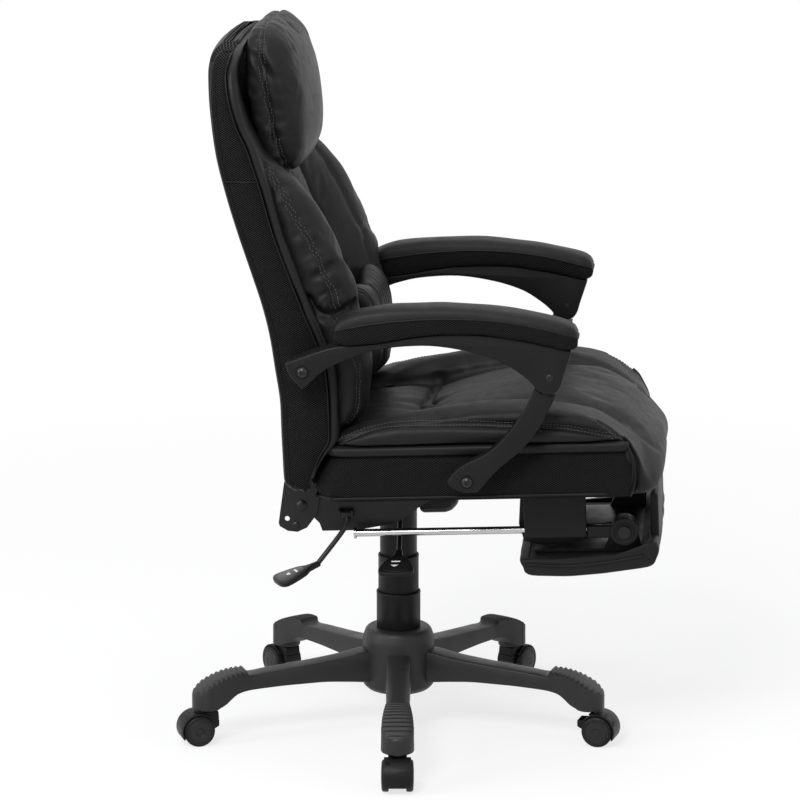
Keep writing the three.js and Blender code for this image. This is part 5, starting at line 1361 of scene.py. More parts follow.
def make_headrest():
    thick, wide, tall = HEAD_SIZE
    matrix = head_matrix()
    steps = np.concatenate([np.linspace(-1, -0.86, 10), np.linspace(-0.82, 0.82, 40), np.linspace(0.86, 1, 10)])
    sizes = smooth_table(HEAD_SHARES, np.abs(steps))[:, 0]
    rings = []
    for across, size in zip(steps, sizes):
        slack = (1 - across ** 2) * thick / 8 + 5
        ring = []
        for x, z in pillow_section((tall - 5) * size, (thick - 5) * math.sqrt(size), 72):
            if x < 0:
                x, z = x / size ** 0.4, z / size ** (0.35 * min(1, -x / 14))
            ring.append(matrix @ (Vector((x + (slack if x > 0 else 0), across * (wide - 5) / 2, z)) * MM))
        rings.append(ring)
    head = as_object("headrest_leather", *lofted(rings), LEATHER_FINE)

    def loop(x, share):
        line = []
        for i in range(64):
            a = 2 * math.pi * i / 64
            y = math.copysign(abs(math.cos(a)) ** 0.55, math.cos(a)) * wide / 2 * share
            z = math.copysign(abs(math.sin(a)) ** 0.62, math.sin(a)) * tall / 2 * share
            line.append(matrix @ (Vector((x + 12 * (z / tall * 2) ** 2, y, z)) * MM))
        line.append(line[0])
        return np.array([tuple(p) for p in line])

    seam = loop(1, 0.99)

    def pinned(points):
        gap, _ = near_line(points, seam)
        local = np.array([matrix.inverted() @ Vector(p) for p in points]) / MM
        behind = np.clip((-22 - local[:, 0]) / 6, 0, 1) * (np.abs(local[:, 1]) < 120) * (np.abs(local[:, 2]) < 90)
        return np.maximum(np.clip(1.3 - gap / 0.006, 0, 1), behind)

    puff(head, 0.0048, 0.016, pinned, pressure=3.2, slack=0.008, bending=1.2)
    seam_on = snapped(head, seam)
    sew(head, seam_on, 0.0035, 0.0045, 0.0022, 0.016, 0.02, seed=21)
    for side in (-1, 1):
        for i, (start, end, depth) in enumerate((
            ((-2, 128, 98), (38, 118, 30), 2.6), ((-4, 112, 106), (46, 102, 48), 2.4), ((2, 96, 110), (50, 92, 66), 2.0),
            ((-6, 138, 80), (22, 134, 8), 1.8), ((0, 76, 113), (46, 70, 84), 1.4), ((-4, 138, -70), (20, 134, -30), 1.6),
            ((-4, 128, -95), (26, 124, -70), 1.8), ((-16, 136, -40), (-24, 120, -20), 1.5),
            ((-14, 138, 20), (-26, 122, 34), 1.4), ((-16, 130, -82), (-27, 110, -70), 1.7),
        )):
            points = [matrix @ (Vector((p[0], p[1] * side, p[2])) * MM) for p in (start, end)]
            wrinkle(head, points[0], points[1], 1.8 * depth * MM, 0.006, i)
    billow(head, 0.0015, 0.08, (1, 1, 1), 2.2)
    seam_pieces("headrest", head, "back", "leather", [seam_on])
    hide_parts("headrest_pillow")


LUMBAR_SIZE = (46, 236, 106)
LUMBAR_HEIGHT = 692
LUMBAR_TILT = math.radians(14)
LUMBAR_SHARES = [[0, 0.68], [0.2, 0.74], [0.45, 0.9], [0.7, 1], [0.88, 0.93], [0.97, 0.76], [1, 0.5]]


def make_lumbar():
    thick, wide, tall = LUMBAR_SIZE
    front = shell_at((LUMBAR_HEIGHT - BACK_FOOT) / BACK_HEIGHT)[1]
    seated = front + 0.36 * BACK_REACH - SHELL_HOLLOW * 0.8
    place = chair_point(seated + thick * 0.52, 0, LUMBAR_HEIGHT)
    matrix = Matrix.Translation(place) @ Matrix.Rotation(-LUMBAR_TILT, 4, "Y")
    steps = np.linspace(-1, 1, 97)
    sizes = smooth_table(LUMBAR_SHARES, np.abs(steps))[:, 0]
    rings = []
    for across, size in zip(steps, sizes):
        ribbed = 0.965 + 0.035 * math.cos(across * math.pi * 17) if abs(across) < 0.8 else 1.0
        ring = []
        for x, z in pillow_section((tall - 3) * size, (thick - 2) * math.sqrt(size) * ribbed, 48):
            ring.append(matrix @ (Vector((x, across * (wide - 4) / 2, z * (0.99 + ribbed * 0.01))) * MM))
        rings.append(ring)
    pillow = as_object("lumbar_leather", *lofted(rings), LEATHER_FINE)
    finish_mesh(pillow, subdivide=1)
    pillow.data.shade_smooth()

    def loop(across, grow=1.0):
        size = float(smooth_table(LUMBAR_SHARES, [abs(across)])[0, 0])
        return np.array([tuple(matrix @ (Vector((x, across * (wide - 4) / 2, z)) * MM))
                         for x, z in pillow_section((tall - 3) * size * grow, (thick - 2) * math.sqrt(size) * grow, 48)])

    for side in (-1, 1):
        for k, share in enumerate((0.84, 0.905)):
            line = loop(side * share)
            sew(pillow, np.vstack([line, line[:1]]), 0.0015, 0.003)
            settle(piping(f"lumbar_piping_{'left' if side > 0 else 'right'}_{k}", pillow, line, 0.0019, 0.5, True),
                   "back", "leather")
    pinch = loop(0.0)
    sew(pillow, np.vstack([pinch, pinch[:1]]), 0.005, 0.007, 0.002, 0.012, 0.02, seed=31)
    billow(pillow, 0.0012, 0.04, (1, 1, 1), 8.8)
    settle(pillow, "back", "leather", "lumbar_pillow")


# Arms
ARM_CENTRE = 275
ARM_WIDTH = 42
REAR_PIVOT = (-119, 648)
ARM_LENGTH = 435
ARM_DEPTH = 91
POST_PIVOT = (256, 647)
SEAT_PIVOT = (131, 480)
POST_WIDTH = 26
POST_PLAY = 3.8
MOUTH_REACH = 27
ARM_SHARES = [
    [-0.062, 0.143], [0.044, 0.341], [0.131, 0.458], [0.228, 0.491], [0.313, 0.568],
    [0.446, 0.667], [0.572, 0.695], [0.71, 0.656], [0.837, 0.546], [0.938, 0.447],
    [0.926, 0.264], [0.91, 0.022], [0.899, -0.154], [0.88, -0.264], [0.848, -0.297],
    [0.821, -0.242], [0.798, -0.11], [0.759, 0.044], [0.69, 0.242], [0.584, 0.396],
    [0.446, 0.484], [0.306, 0.44], [0.218, 0.341], [0.172, 0.253], [0.08, 0.044],
    [0, -0.308], [-0.044, -0.077],
]
ARM_SHARP = (0, 9, 14, 25)
POST_SHARES = [
    [-0.152, 0.09], [-0.248, 0], [-0.184, -0.06], [-0.04, -0.102], [0.136, -0.09],
    [0.328, 0.084], [0.472, 0.186], [0.672, 0.317], [0.872, 0.515], [1, 0.707], [1.072, 0.825],
    [0.808, 0.885], [0.752, 0.778], [0.624, 0.599], [0.424, 0.401], [0.216, 0.263],
    [-0.04, 0.162],
]
POST_SHARP = (1, 3, 4, 10, 11)
PAD_SHARES = [
    [0, 0.4, 0.203], [0.016, 0.59, 0.062], [0.06, 0.74, 0.009], [0.141, 0.87, 0.047],
    [0.276, 0.96, 0.188], [0.439, 1, 0.308], [0.602, 0.969, 0.328], [0.764, 0.865, 0.234],
    [0.886, 0.735, 0.094], [0.954, 0.63, 0.012], [0.986, 0.53, 0.03], [1, 0.4, 0.1],
]


def soft_outline(points, sharp, per_span=5):
    """Closed outline with smooth runs between its sharp corners."""
    points = [np.asarray(p, float) for p in points]
    count = len(points)
    result = []
    for i in range(count):
        a, b, c, d = (points[(i + k - 1) % count] for k in range(4))
        if i in sharp:
            a = 2 * b - c
        if (i + 1) % count in sharp:
            d = 2 * c - b
        for j in range(per_span):
            t = j / per_span
            result.append(0.5 * (2 * b + (c - a) * t + (2 * a - 5 * b + 4 * c - d) * t ** 2
                                 + (3 * b - a - 3 * c + d) * t ** 3))
    return np.array(result)


def y_cylinder(name, radius, y0, y1, x, z, to_row, steps=40):
    """A closed rod across the chair, used to cut and join."""
    rings = [[to_row(x + radius * math.cos(a), y, z + radius * math.sin(a))
              for a in (2 * math.pi * k / steps for k in range(steps))] for y in (y0, y1)]
    return as_object(name, *lofted(rings), PLASTIC)


def make_arm(name, side):
    def to_row(x, y, z):
        return chair_point(x, side * y, z)

    half = ARM_WIDTH / 2
    outline = soft_outline([(REAR_PIVOT[0] + x * ARM_LENGTH, REAR_PIVOT[1] + z * ARM_DEPTH) for x, z in ARM_SHARES], ARM_SHARP)
    frame_piece = plate(f"arm_{name}_frame", outline, ARM_WIDTH, ARM_CENTRE, to_row, PLASTIC, 3, 3)
    boss = y_cylinder("boss", 11.5, 246.3, ARM_CENTRE - half + 3, *REAR_PIVOT, to_row)
    boolean(frame_piece, [boss], "UNION")
    slot = POST_WIDTH / 2 + 0.3
    mouth = 11 + POST_PLAY + 0.3
    tools = [y_cylinder("mouth", mouth, ARM_CENTRE - slot, ARM_CENTRE + slot, *POST_PIVOT, to_row)]
    reach = MOUTH_REACH + 10
    wedge = [(POST_PIVOT[0], POST_PIVOT[1] + 11)]
    for k in range(9):
        a = math.radians(-136 + 92 * k / 8)
        wedge.append((POST_PIVOT[0] + reach * math.cos(a), POST_PIVOT[1] + reach * math.sin(a)))
    tools.append(plate("wedge", wedge, 2 * slot, ARM_CENTRE, to_row, PLASTIC, 0.01, 1))
    tools.append(y_cylinder("bolt_hole", 5.3, 240, ARM_CENTRE + half + 5, *REAR_PIVOT, to_row))
    tools.append(y_cylinder("pin_hole", 3.8, 240, ARM_CENTRE + half + 5, *POST_PIVOT, to_row))
    tools.append(y_cylinder("bolt_sink", 10.5, ARM_CENTRE + half - 0.8, ARM_CENTRE + half + 5, *REAR_PIVOT, to_row))
    boolean(frame_piece, tools)
    sharpen(frame_piece, 35)
    settle(frame_piece, f"arm_{name}", "black_plastic", f"arm_frame_{name}")

    shares = np.concatenate([[0, 0.006, 0.016, 0.035], np.linspace(0.06, 0.94, 60), [0.954, 0.97, 0.986, 0.995, 1]])
    rings, sides = [], []
    for share, (top, under) in zip(shares, smooth_table(PAD_SHARES, shares)):
        x = REAR_PIVOT[0] + 47 + share * 369
        low, high = REAR_PIVOT[1] + 42 + under * 64, REAR_PIVOT[1] + 42 + top * 64
        end = min(1, 0.66 + 1.5 * math.sqrt(max(min(share, 1 - share), 0) * 1.1))
        half_pad = 31 * end
        tall = high - low
        section = [(0, 0), (half_pad * 0.55, 0), (half_pad * 0.86, tall * 0.03), (half_pad * 0.99, tall * 0.2),
                   (half_pad, tall * 0.42), (half_pad * 0.985, tall * 0.58), (half_pad * 0.955, tall * 0.615),
                   (half_pad * 0.95, tall * 0.66), (half_pad * 0.86, tall * 0.86), (half_pad * 0.6, tall * 0.97), (0, tall)]
        ring = [(y, z) for y, z in catmull(section, 3)]
        full = ring + [(-y, z) for y, z in ring[-2:0:-1]]
        rings.append([to_row(x, ARM_CENTRE + y, low + z) for y, z in full])
        sides.append((x, half_pad * 0.975, low + tall * 0.605))
    pad = as_object(f"arm_{name}_pad", *lofted(rings), MESH)
    pad.data.materials.append(LEATHER)
    split = 18
    count = len(rings[0])
    for face in pad.data.polygons:
        indices = [v % count for v in face.vertices if v < count * len(rings)]
        if indices and split <= min(indices) and max(indices) <= count - split:
            face.material_index = 1
    pad.data.shade_smooth()
    billow(pad, 0.0014, 0.05, (1, 1, 1), 12 + side)
    settle(pad, f"arm_{name}", "leather", f"arm_pad_{name}")
    loop = [to_row(x, ARM_CENTRE + y, z) for x, y, z in sides] + [to_row(x, ARM_CENTRE - y, z) for x, y, z in reversed(sides)]
    settle(piping(f"arm_{name}_piping", pad, resampled(np.array([tuple(p) for p in loop]), 260, True), 0.0016, 0.3, True, 6),
           f"arm_{name}", "leather")

    run, rise = POST_PIVOT[0] - SEAT_PIVOT[0], POST_PIVOT[1] - SEAT_PIVOT[1]
    outline = soft_outline([(SEAT_PIVOT[0] + x * run, SEAT_PIVOT[1] + z * rise) for x, z in POST_SHARES], POST_SHARP)
    post = plate(f"arm_{name}_post", outline, POST_WIDTH, ARM_CENTRE, to_row, PLASTIC, 3.2, 4)
    clear = y_cylinder("clear", MOUTH_REACH + POST_PLAY, 240, 310, *POST_PIVOT, to_row, 48)
    boolean(post, [clear])
    y0, y1 = ARM_CENTRE - POST_WIDTH / 2, ARM_CENTRE + POST_WIDTH / 2
    lug = y_cylinder("lug", 11, y0, y1, *POST_PIVOT, to_row)
    lean = math.radians(12)
    neck_length = MOUTH_REACH + 2 * POST_PLAY
    corners = [(-6.5, 0), (6.5, 0), (6.5, -neck_length), (-6.5, -neck_length)]
    turned_neck = [(POST_PIVOT[0] + x * math.cos(lean) + z * math.sin(lean), POST_PIVOT[1] - x * math.sin(lean) + z * math.cos(lean))
                   for x, z in corners]
    neck = plate("neck", turned_neck, POST_WIDTH, ARM_CENTRE, to_row, PLASTIC, 1, 1)
    boss = y_cylinder("boss", 11.5, 250.3, y0 + 3, *SEAT_PIVOT, to_row)
    boolean(post, [lug, neck, boss], "UNION")
    holes = [y_cylinder("pin_hole", 7.3, 240, 310, *POST_PIVOT, to_row),
             y_cylinder("bolt_hole", 5.3, 240, 310, *SEAT_PIVOT, to_row),
             y_cylinder("bolt_sink", 10.5, y1 - 0.8, 310, *SEAT_PIVOT, to_row)]
    boolean(post, holes)
    sharpen(post, 35)
    settle(post, f"post_{name}", "black_plastic", f"arm_post_{name}")
    settle(bolt(f"arm_{name}_rear_bolt_head", 246.3, ARM_CENTRE + half, 5, 8.5, 5, *REAR_PIVOT, side),
           "back", "black_plastic", f"arm_rear_bolt_{name}")
    settle(bolt(f"arm_{name}_seat_bolt_head", 250.3, y1, 5, 8.5, 5, *SEAT_PIVOT, side),
           "seat", "black_plastic", f"arm_seat_bolt_{name}")
    settle(bolt(f"arm_{name}_pin_head", ARM_CENTRE - half, ARM_CENTRE + half, 3.5, 5.6, 1.75, *POST_PIVOT, side, STEEL),
           f"arm_{name}", "dark_steel", f"arm_pin_{name}")


def bolt(name, inner, outer, radius, head, height, x, z, side, material=None):
    """Bolt from the side: shank, and a domed head outside the arm with a shallow socket."""
    matrix = axis_matrix(chair_point(x, 0, z), (0, side, 0))
    top = outer + 0.3
    profile = [(0, inner), (radius, inner), (radius, top), (head, top), (head, top + height * 0.25),
               (head * 0.85, top + height * 0.62), (head * 0.5, top + height * 0.92), (head * 0.36, top + height),
               (head * 0.32, top + height * 0.9), (head * 0.28, top + height * 0.55), (0, top + height * 0.5)]
    return turned(name, profile, matrix, material or PLASTIC_SMOOTH, 36, 35)


# Base star, casters and column
LEG_TURN = -85
STEM_CIRCLE = 319
HOOD_TOP = 55.5
STEM_LENGTH = 22
TRAIL = 20
WHEEL_RADIUS = 25
LEG_ROWS = [
    (30, 78, 131, 20.6), (58, 80, 131, 20.4), (90, 83.5, 125.5, 20), (140, 87, 119.5, 19.3), (190, 87, 115, 18.8),
    (225, 86, 112, 18.5), (249, 85, 109.5, 18.7), (256, 84.5, 112, 19.2), (260, 84, 117.6, 19.6), (266, 83, 119, 20.2),
    (275, 80.5, 119.6, 21.2), (285, 74, 119.2, 22.4), (295, 66, 117.3, 23.6), (303, 62, 115, 24.4),
    (311, 59.5, 112, 25), (319, 58, 108.5, 25.4), (327, 58, 104.3, 25.4),
]
TREAD_FOOT = 258
TREAD_TOP = 117.6
LEG_TIP = 345.2
RIBS = 11
RIB_DEPTH = 2.2


def leg_top(x):
    """Height of the leg's top, with the ribs of its tread."""
    if x <= 249:
        return None
    share = (x - TREAD_FOOT) / (LEG_TIP - TREAD_FOOT)
    if share < 0:
        return None
    smooth = TREAD_TOP + share * (84 - TREAD_TOP) + 36 * share * (1 - share)
    rib = math.sin(share * RIBS * 2 * math.pi - 0.7)
    return smooth - RIB_DEPTH * (0.5 - 0.5 * math.copysign(abs(rib) ** 0.5, rib))


def make_base():
    places = np.concatenate([np.linspace(30, 250, 34), np.linspace(252, 258, 4), np.linspace(258.6, 344.6, 178)])
    table = smooth_table(LEG_ROWS, np.minimum(places, 327))
    legs = []
    for turn in range(5):
        spin = Matrix.Translation(COLUMN) @ Matrix.Rotation(math.radians(LEG_TURN + 72 * turn), 4, "Z")
        rings = []
        for x, (floor, top, half) in zip(places, table):
            tread = leg_top(x)
            if tread is not None:
                top = tread
            floor = max(floor, 58)
            if x > 319.5:
                half = math.sqrt(max(25.9 ** 2 - (x - 319.3) ** 2, 0.6))
            ribbed = tread is not None
            edge = min(2.2, half * 0.3, (top - floor) * 0.2)
            crown = 1.4 if not ribbed else 0.8
            section = [(0, floor), (half - edge, floor), (half - edge * 0.3, floor + edge * 0.3), (half, floor + edge),
                       (half - 0.4, (floor + top) / 2), (half - (1.2 if not ribbed else 0.4), top - edge - crown),
                       (half - edge * 0.5 - 0.8, top - edge * 0.3 - crown), (half - edge - 1.4, top - crown * 0.8),
                       (half * 0.5, top - crown * 0.2), (0, top)]
            ring = section + [(-y, z) for y, z in section[-2:0:-1]]
            rings.append([spin @ (Vector((x, y, z)) * MM) for y, z in ring])
        leg = as_object("leg", *lofted(rings), BASE_PLASTIC)
        legs.append(leg)
        collar = turned("collar", rounded_profile([(0, 56), (20, 56), (20.5, 70), (0, 70)], 1.4),
                        spin @ Matrix.Translation((STEM_CIRCLE * MM, 0, 0)), BASE_PLASTIC)
        legs.append(collar)
    hub = turned("hub", rounded_profile([(0, 62), (49, 62), (58, 71), (58, 147), (53.5, 160.5), (49, 165), (0, 165)], 4),
                 Matrix.Translation(COLUMN), BASE_PLASTIC, 72)
    boolean(hub, legs, "UNION")
    tools = [turned("tube", [(0, 40), (25.3, 40), (25.3, 200), (0, 200)], Matrix.Translation(COLUMN), BASE_PLASTIC, 48)]
    for turn in range(5):
        spin = Matrix.Translation(COLUMN) @ Matrix.Rotation(math.radians(LEG_TURN + 72 * turn), 4, "Z")
        tools.append(turned("socket", [(0, 0), (5.8, 0), (5.8, 77.8), (0, 77.8)],
                            spin @ Matrix.Translation((STEM_CIRCLE * MM, 0, 0)), BASE_PLASTIC, 24))
    boolean(hub, tools)
    hub.name = "base_star_nylon"
    sharpen(hub, 42)
    settle(hub, "base", "black_plastic", "base_star")


def make_caster(number):
    turn = math.radians(LEG_TURN + 72 * (number - 1))
    spin = (Matrix.Translation(COLUMN) @ Matrix.Rotation(turn, 4, "Z")
            @ Matrix.Translation((STEM_CIRCLE * MM, 0, 0)))

    def to_row(x, y, z):
        return spin @ (Vector((x, y, z)) * MM)

    inner, outer = 25.79, 28.39
    start, end = math.radians(-28), math.radians(145)
    arc = [(TRAIL + r * math.cos(a), WHEEL_RADIUS + r * math.sin(a)) for r, a in
           [(outer, start + (end - start) * k / 28) for k in range(29)]
           + [(inner, end - (end - start) * k / 28) for k in range(29)]]
    hood = plate(f"caster_{number}_fender", arc, 42, 0, to_row, PLASTIC, 1.1, 2)
    neck = TRAIL - 5.5
    web = [(TRAIL + outer * math.cos(a), WHEEL_RADIUS + outer * math.sin(a)) for a in
           (start + (end - start) * k / 28 for k in range(29))]
    web += [(-neck, WHEEL_RADIUS + neck), (-neck, WHEEL_RADIUS + 4), (0, WHEEL_RADIUS - 4), (TRAIL, WHEEL_RADIUS / 2)]
    web_piece = plate("web", web, 26, 0, to_row, PLASTIC, 1.2, 2)
    steeple = [(-neck, WHEEL_RADIUS + neck), (neck, WHEEL_RADIUS + neck), (neck * 0.93, HOOD_TOP - 3), (neck * 0.8, HOOD_TOP),
               (-neck * 0.8, HOOD_TOP), (-neck * 0.93, HOOD_TOP - 3)]
    block = plate("steeple", steeple, 2 * neck, 0, to_row, PLASTIC, 3, 4)
    space = y_cylinder("space", inner, -30, 30, TRAIL, WHEEL_RADIUS, to_row, 56)
    boolean(block, [space])
    stem = turned("stem", rounded_profile([(0, 50), (5.5, 50), (5.5, HOOD_TOP + STEM_LENGTH - 1), (4.5, HOOD_TOP + STEM_LENGTH),
                                           (0, HOOD_TOP + STEM_LENGTH)], 0.6), spin, STEEL, 28)
    axle = y_cylinder("axle", 4, -21, 21, TRAIL, WHEEL_RADIUS, to_row, 28)
    boolean(hood, [web_piece, block, stem, axle], "UNION")
    sharpen(hood, 40)
    settle(hood, f"caster_{number}", "black_plastic", f"caster_{number}_hood")
    for side, sign in (("left", 1), ("right", -1)):
        place = spin @ (Vector((TRAIL, sign * 13.3, WHEEL_RADIUS)) * MM)
        matrix = axis_matrix(place, spin.to_3x3() @ Vector((0, sign, 0)))
        profile = [(0, 8.2), (4.3, 8.2), (4.3, 0), (22.5, 0), (24.2, 0.6), (25, 1.8), (25, 7.6), (24.4, 9.4), (22.6, 10.8),
                   (20.6, 11.4), (19.2, 11.3), (18.8, 10.7), (17.8, 10.7), (17.2, 11.4), (12, 12), (7.4, 12.2), (6.8, 11.6),
                   (5.9, 11.6), (5.4, 12.2), (0, 12.2)]
        wheel = turned(f"caster_{number}_{side}_wheel", profile, matrix, PLASTIC_SMOOTH, 48, 32)
        wheel.data.materials.append(PLASTIC)
        for face in wheel.data.polygons:
            local = matrix.inverted() @ face.center / MM
            if math.hypot(local.x, local.y) > 20.5:
                face.material_index = 1
        settle(wheel, f"caster_{number}_wheel_{side}", "black_plastic", f"caster_{number}_wheel_{side}")


def make_column():
    stand = Matrix.Translation(COLUMN)
    wall = 2.1
    lower, middle, upper = 35.4, 32.6, 29.8
    for name, radius, low, high, body, node in (
        ("sleeve_lower_cover", lower, 165.3, 225, "base", "sleeve_lower"),
        ("sleeve_middle_cover", middle, 207, 286, "middle_sleeve", "sleeve_middle"),
        ("sleeve_upper_cover", upper, 263, 363, "column", "sleeve_upper"),
    ):
        inner = radius - wall
        profile = [(inner, low), (radius - 0.5, low), (radius, low + 0.8), (radius, high - 3.6), (radius + 0.35, high - 3),
                   (radius + 0.35, high - 1), (radius - 0.3, high), (inner + 0.4, high), (inner, high - 0.6), (inner, low)]
        settle(ring_turned(name, profile, stand, PLASTIC, 72), body, "black_plastic", node)
    settle(ring_turned("gas_tube_steel", [(14.3, 66), (24, 66), (25, 68), (25, 256.5), (24, 258), (14.3, 258), (14.3, 66)],
                       stand, STEEL, 56), "base", "dark_steel", "gas_tube")
    settle(turned("gas_piston_chrome", rounded_profile([(0, 155), (14, 155), (14, 415), (13, 416), (0, 416)], 0.8), stand,
                  CHROME, 48), "column", "chrome", "gas_piston")


def ring_turned(name, profile, matrix, material, steps=48):
    """Lathe of a closed section that doesn't reach the axis."""
    section = profile[:-1] if profile[0] == profile[-1] else profile
    count = len(section)
    points, faces = [], []
    for k in range(steps):
        a = 2 * math.pi * k / steps
        for radius, height in section:
            points.append(matrix @ (Vector((radius * math.cos(a), radius * math.sin(a), height)) * MM))
    for k in range(steps):
        m = (k + 1) % steps
        for j in range(count):
            i = (j + 1) % count
            faces.append((k * count + j, m * count + j, m * count + i, k * count + i))
    if volume_sign(points, faces) < 0:
        faces = [tuple(reversed(face)) for face in faces]
    thing = as_object(name, points, faces, material)
    sharpen(thing, 35)
    return thing


# Mechanism, levers and footrest
PAN_FRONT = 32
KNOB_Z = -44
KNOB_RADIUS = 32
KNOB_LENGTH = 62
PLATE_OUTER = 137


def make_knob():
    """Tension knob with shallow grip flutes round its side."""
    matrix = SEAT_MATRIX @ Matrix.Translation((0.0323, 0, KNOB_Z * MM)) @ Matrix.Rotation(math.pi / 2, 4, "Y")
    profile = rounded_profile([(0, -13.4), (5, -13.4), (5, 0), (27, 0), (32, 5), (32, 41), (28.5, 51.5), (21.5, 58.4),
                               (16, 62), (0, 62)], 3, 4)
    steps = 96
    points, faces, rings = [], [], []
    for radius, height in profile:
        ring = []
        for k in range(1 if radius == 0 else steps):
            a = 2 * math.pi * k / steps
            flute = 0.0
            if 4 < height < 50 and radius > 28:
                flute = 1.1 * max(0, math.sin(a * 16)) * math.sin(math.pi * (height - 4) / 46) ** 0.4
            ring.append(len(points))
            points.append(matrix @ (Vector(((radius - flute) * math.cos(a), (radius - flute) * math.sin(a), height)) * MM))
        rings.append(ring)
    for low, high in zip(rings, rings[1:]):
        for k in range(steps):
            m = (k + 1) % steps
            face = list(dict.fromkeys([low[k % len(low)], low[m % len(low)], high[m % len(high)], high[k % len(high)]]))
            if len(face) > 2:
                faces.append(tuple(face))
    if volume_sign(points, faces) < 0:
        faces = [tuple(reversed(face)) for face in faces]
    knob = as_object("tension_knob_grip", points, faces, PLASTIC)
    sharpen(knob, 40)
    settle(knob, "tension_knob", "black_plastic", "tension_knob")


PADDLE_LENGTH = 72
PADDLE_WIDTH = 56
PADDLE_SHARES = [[-0.06, 0.09], [0.1, 0.12], [0.22, 0.16], [0.36, 0.32], [0.6, 0.44], [0.8, 0.5], [0.92, 0.46], [0.985, 0.3],
                 [1, 0.12]]


def make_lever(name, barrel, ways, tip, body):
    """Lever: barrel on its pivot, bent steel rod and a moulded paddle with a small plain mark."""
    barrel, tip = Vector(barrel), Vector(tip)
    ways = [Vector(p) for p in ways]
    path = [seat_point(*p) for p in catmull([barrel, *ways], 14)]
    end = ways[-1]
    rod = tube(name + "_rod", path + [seat_point(*(end + (tip - end).normalized() * 14))], 0.004, STEEL, 12)
    hub = turned(name + "_hub", rounded_profile([(0, -8), (6, -8), (6, 8), (0, 8)], 0.8),
                 axis_matrix(seat_point(*barrel), SEAT_FORWARD), STEEL, 28)
    forward = (tip - end).normalized()
    across = Vector((0, 0, 1)).cross(forward).normalized()
    up = forward.cross(across)

    def on_paddle(x, y, z):
        return seat_point(*(end + forward * x + across * y + up * z))

    side = catmull([(x * PADDLE_LENGTH, y * PADDLE_WIDTH) for x, y in PADDLE_SHARES], 4)
    outline = [tuple(p) for p in side] + [(x, -y) for x, y in side[::-1]]
    paddle = plate_flat(name + "_paddle", outline, 8, on_paddle, PLASTIC, 2.2)
    rim = [(x * 0.82 + 8, y * 0.72) for x, y in outline if x > 16]
    face = plate_flat(name + "_paddle_face", rim, 0.7, lambda x, y, z: on_paddle(x, y, z + 3.9), PLASTIC_SMOOTH, 0.3)
    marks = [plate_flat(name + "_mark", [(34, -9), (37, -9), (37, 5), (34, 5)], 0.4,
                        lambda x, y, z: on_paddle(x, y, z + 4.3), MARK, 0.1),
             plate_flat(name + "_mark_arrow", [(46, -9), (52, -3), (46, 3)], 0.4,
                        lambda x, y, z: on_paddle(x, y, z + 4.3), MARK, 0.1)]
    lever = joined(name + "_moulded", [paddle, face, rod, hub, *marks])
    settle(lever, body, "black_plastic", name)


def plate_flat(name, outline, thickness, to_row, material, bevel):
    """Rounded plate: a closed outline in x and y, extruded along z about its middle."""
    return plate(name, outline, thickness, 0, lambda x, z, y: to_row(x, y, z), material, bevel, 3)


ROD_Y = 160
ROD_Z = -66
EYE = (365, -70)


def make_slides():
    for name, side in (("left", 1), ("right", -1)):
        matrix = axis_matrix(seat_point(0, side * ROD_Y, ROD_Z), SEAT_FORWARD)
        profile = [(0, -58), (8.4, -58), (9, -57.4), (9, -54.6), (8.4, -54), (6, -54), (6, 329), (5.4, 330), (0, 330)]
        settle(turned(f"slide_rod_{name}_chrome", profile, matrix, CHROME, 40), "footrest_slides", "chrome", f"slide_rod_{name}")


def make_guide(name, side):
    def to_row(x, y, z):
        return seat_point(x, side * y, z)

    outline = [(210, -75), (212, -77), (304, -77), (306, -75), (306, 12.7), (304, 13.7), (212, 13.7), (210, 12.7)]
    guide = plate(f"guide_{name}_block", outline, 24, ROD_Y, to_row, PLASTIC, 1.6, 3)
    bore = turned("bore", [(0, 200), (6.3, 200), (6.3, 316), (0, 316)],
                  axis_matrix(seat_point(0, side * ROD_Y, ROD_Z), SEAT_FORWARD), PLASTIC, 32)
    boolean(guide, [bore])
    sharpen(guide, 35)
    settle(guide, "seat", "black_plastic", f"guide_{name}")


CHEEK_SHARES = [
    [0, 0.02], [-0.216, 0.05], [-0.463, -0.06], [-0.772, -0.13], [-0.975, -0.04], [-1.02, 0.33],
    [-1, 0.87], [-0.833, 1], [-0.45, 0.34], [0, 0.34],
]


def make_eye_arm(name, side):
    def to_row(x, y, z):
        return seat_point(x, side * y, z)

    inner, outer = 160 - 12 - 1.8 - 10, 172
    bar = plate(f"eye_arm_{name}_bar", [(306.6, EYE[1] - 9.5), (EYE[0], EYE[1] - 9.5), (EYE[0], EYE[1] + 9.5), (306.6, EYE[1] + 9.5)],
                18, ROD_Y, to_row, PLASTIC, 2.4, 3)
    profile = rounded_profile([(0, inner), (22, inner), (22, outer), (16, outer), (15.2, outer - 1), (0, outer - 1)], 1.6, 3)
    eye = turned("eye", profile, axis_matrix(seat_point(EYE[0], 0, EYE[1]), (0, side, 0)), PLASTIC, 64)
    cheek_outline = soft_outline([(EYE[0] + x * 162, EYE[1] + (z - 0.2) * 75) for x, z in CHEEK_SHARES], (0, 4, 5, 6, 7, 9), 4)
    cheek = plate("cheek", cheek_outline, 10, inner + 5, to_row, PLASTIC, 1.5, 2)
    boolean(bar, [eye, cheek], "UNION")
    bores = [turned("bore", [(0, 296), (6.3, 296), (6.3, 330.3), (0, 330.3)],
                    axis_matrix(seat_point(0, side * ROD_Y, ROD_Z), SEAT_FORWARD), PLASTIC, 32),
             y_cylinder("pin", 8.3, 120, 190, *EYE, to_row)]
    boolean(bar, bores)
    sharpen(bar, 38)
    settle(bar, "footrest_slides", "black_plastic", f"eye_arm_{name}")


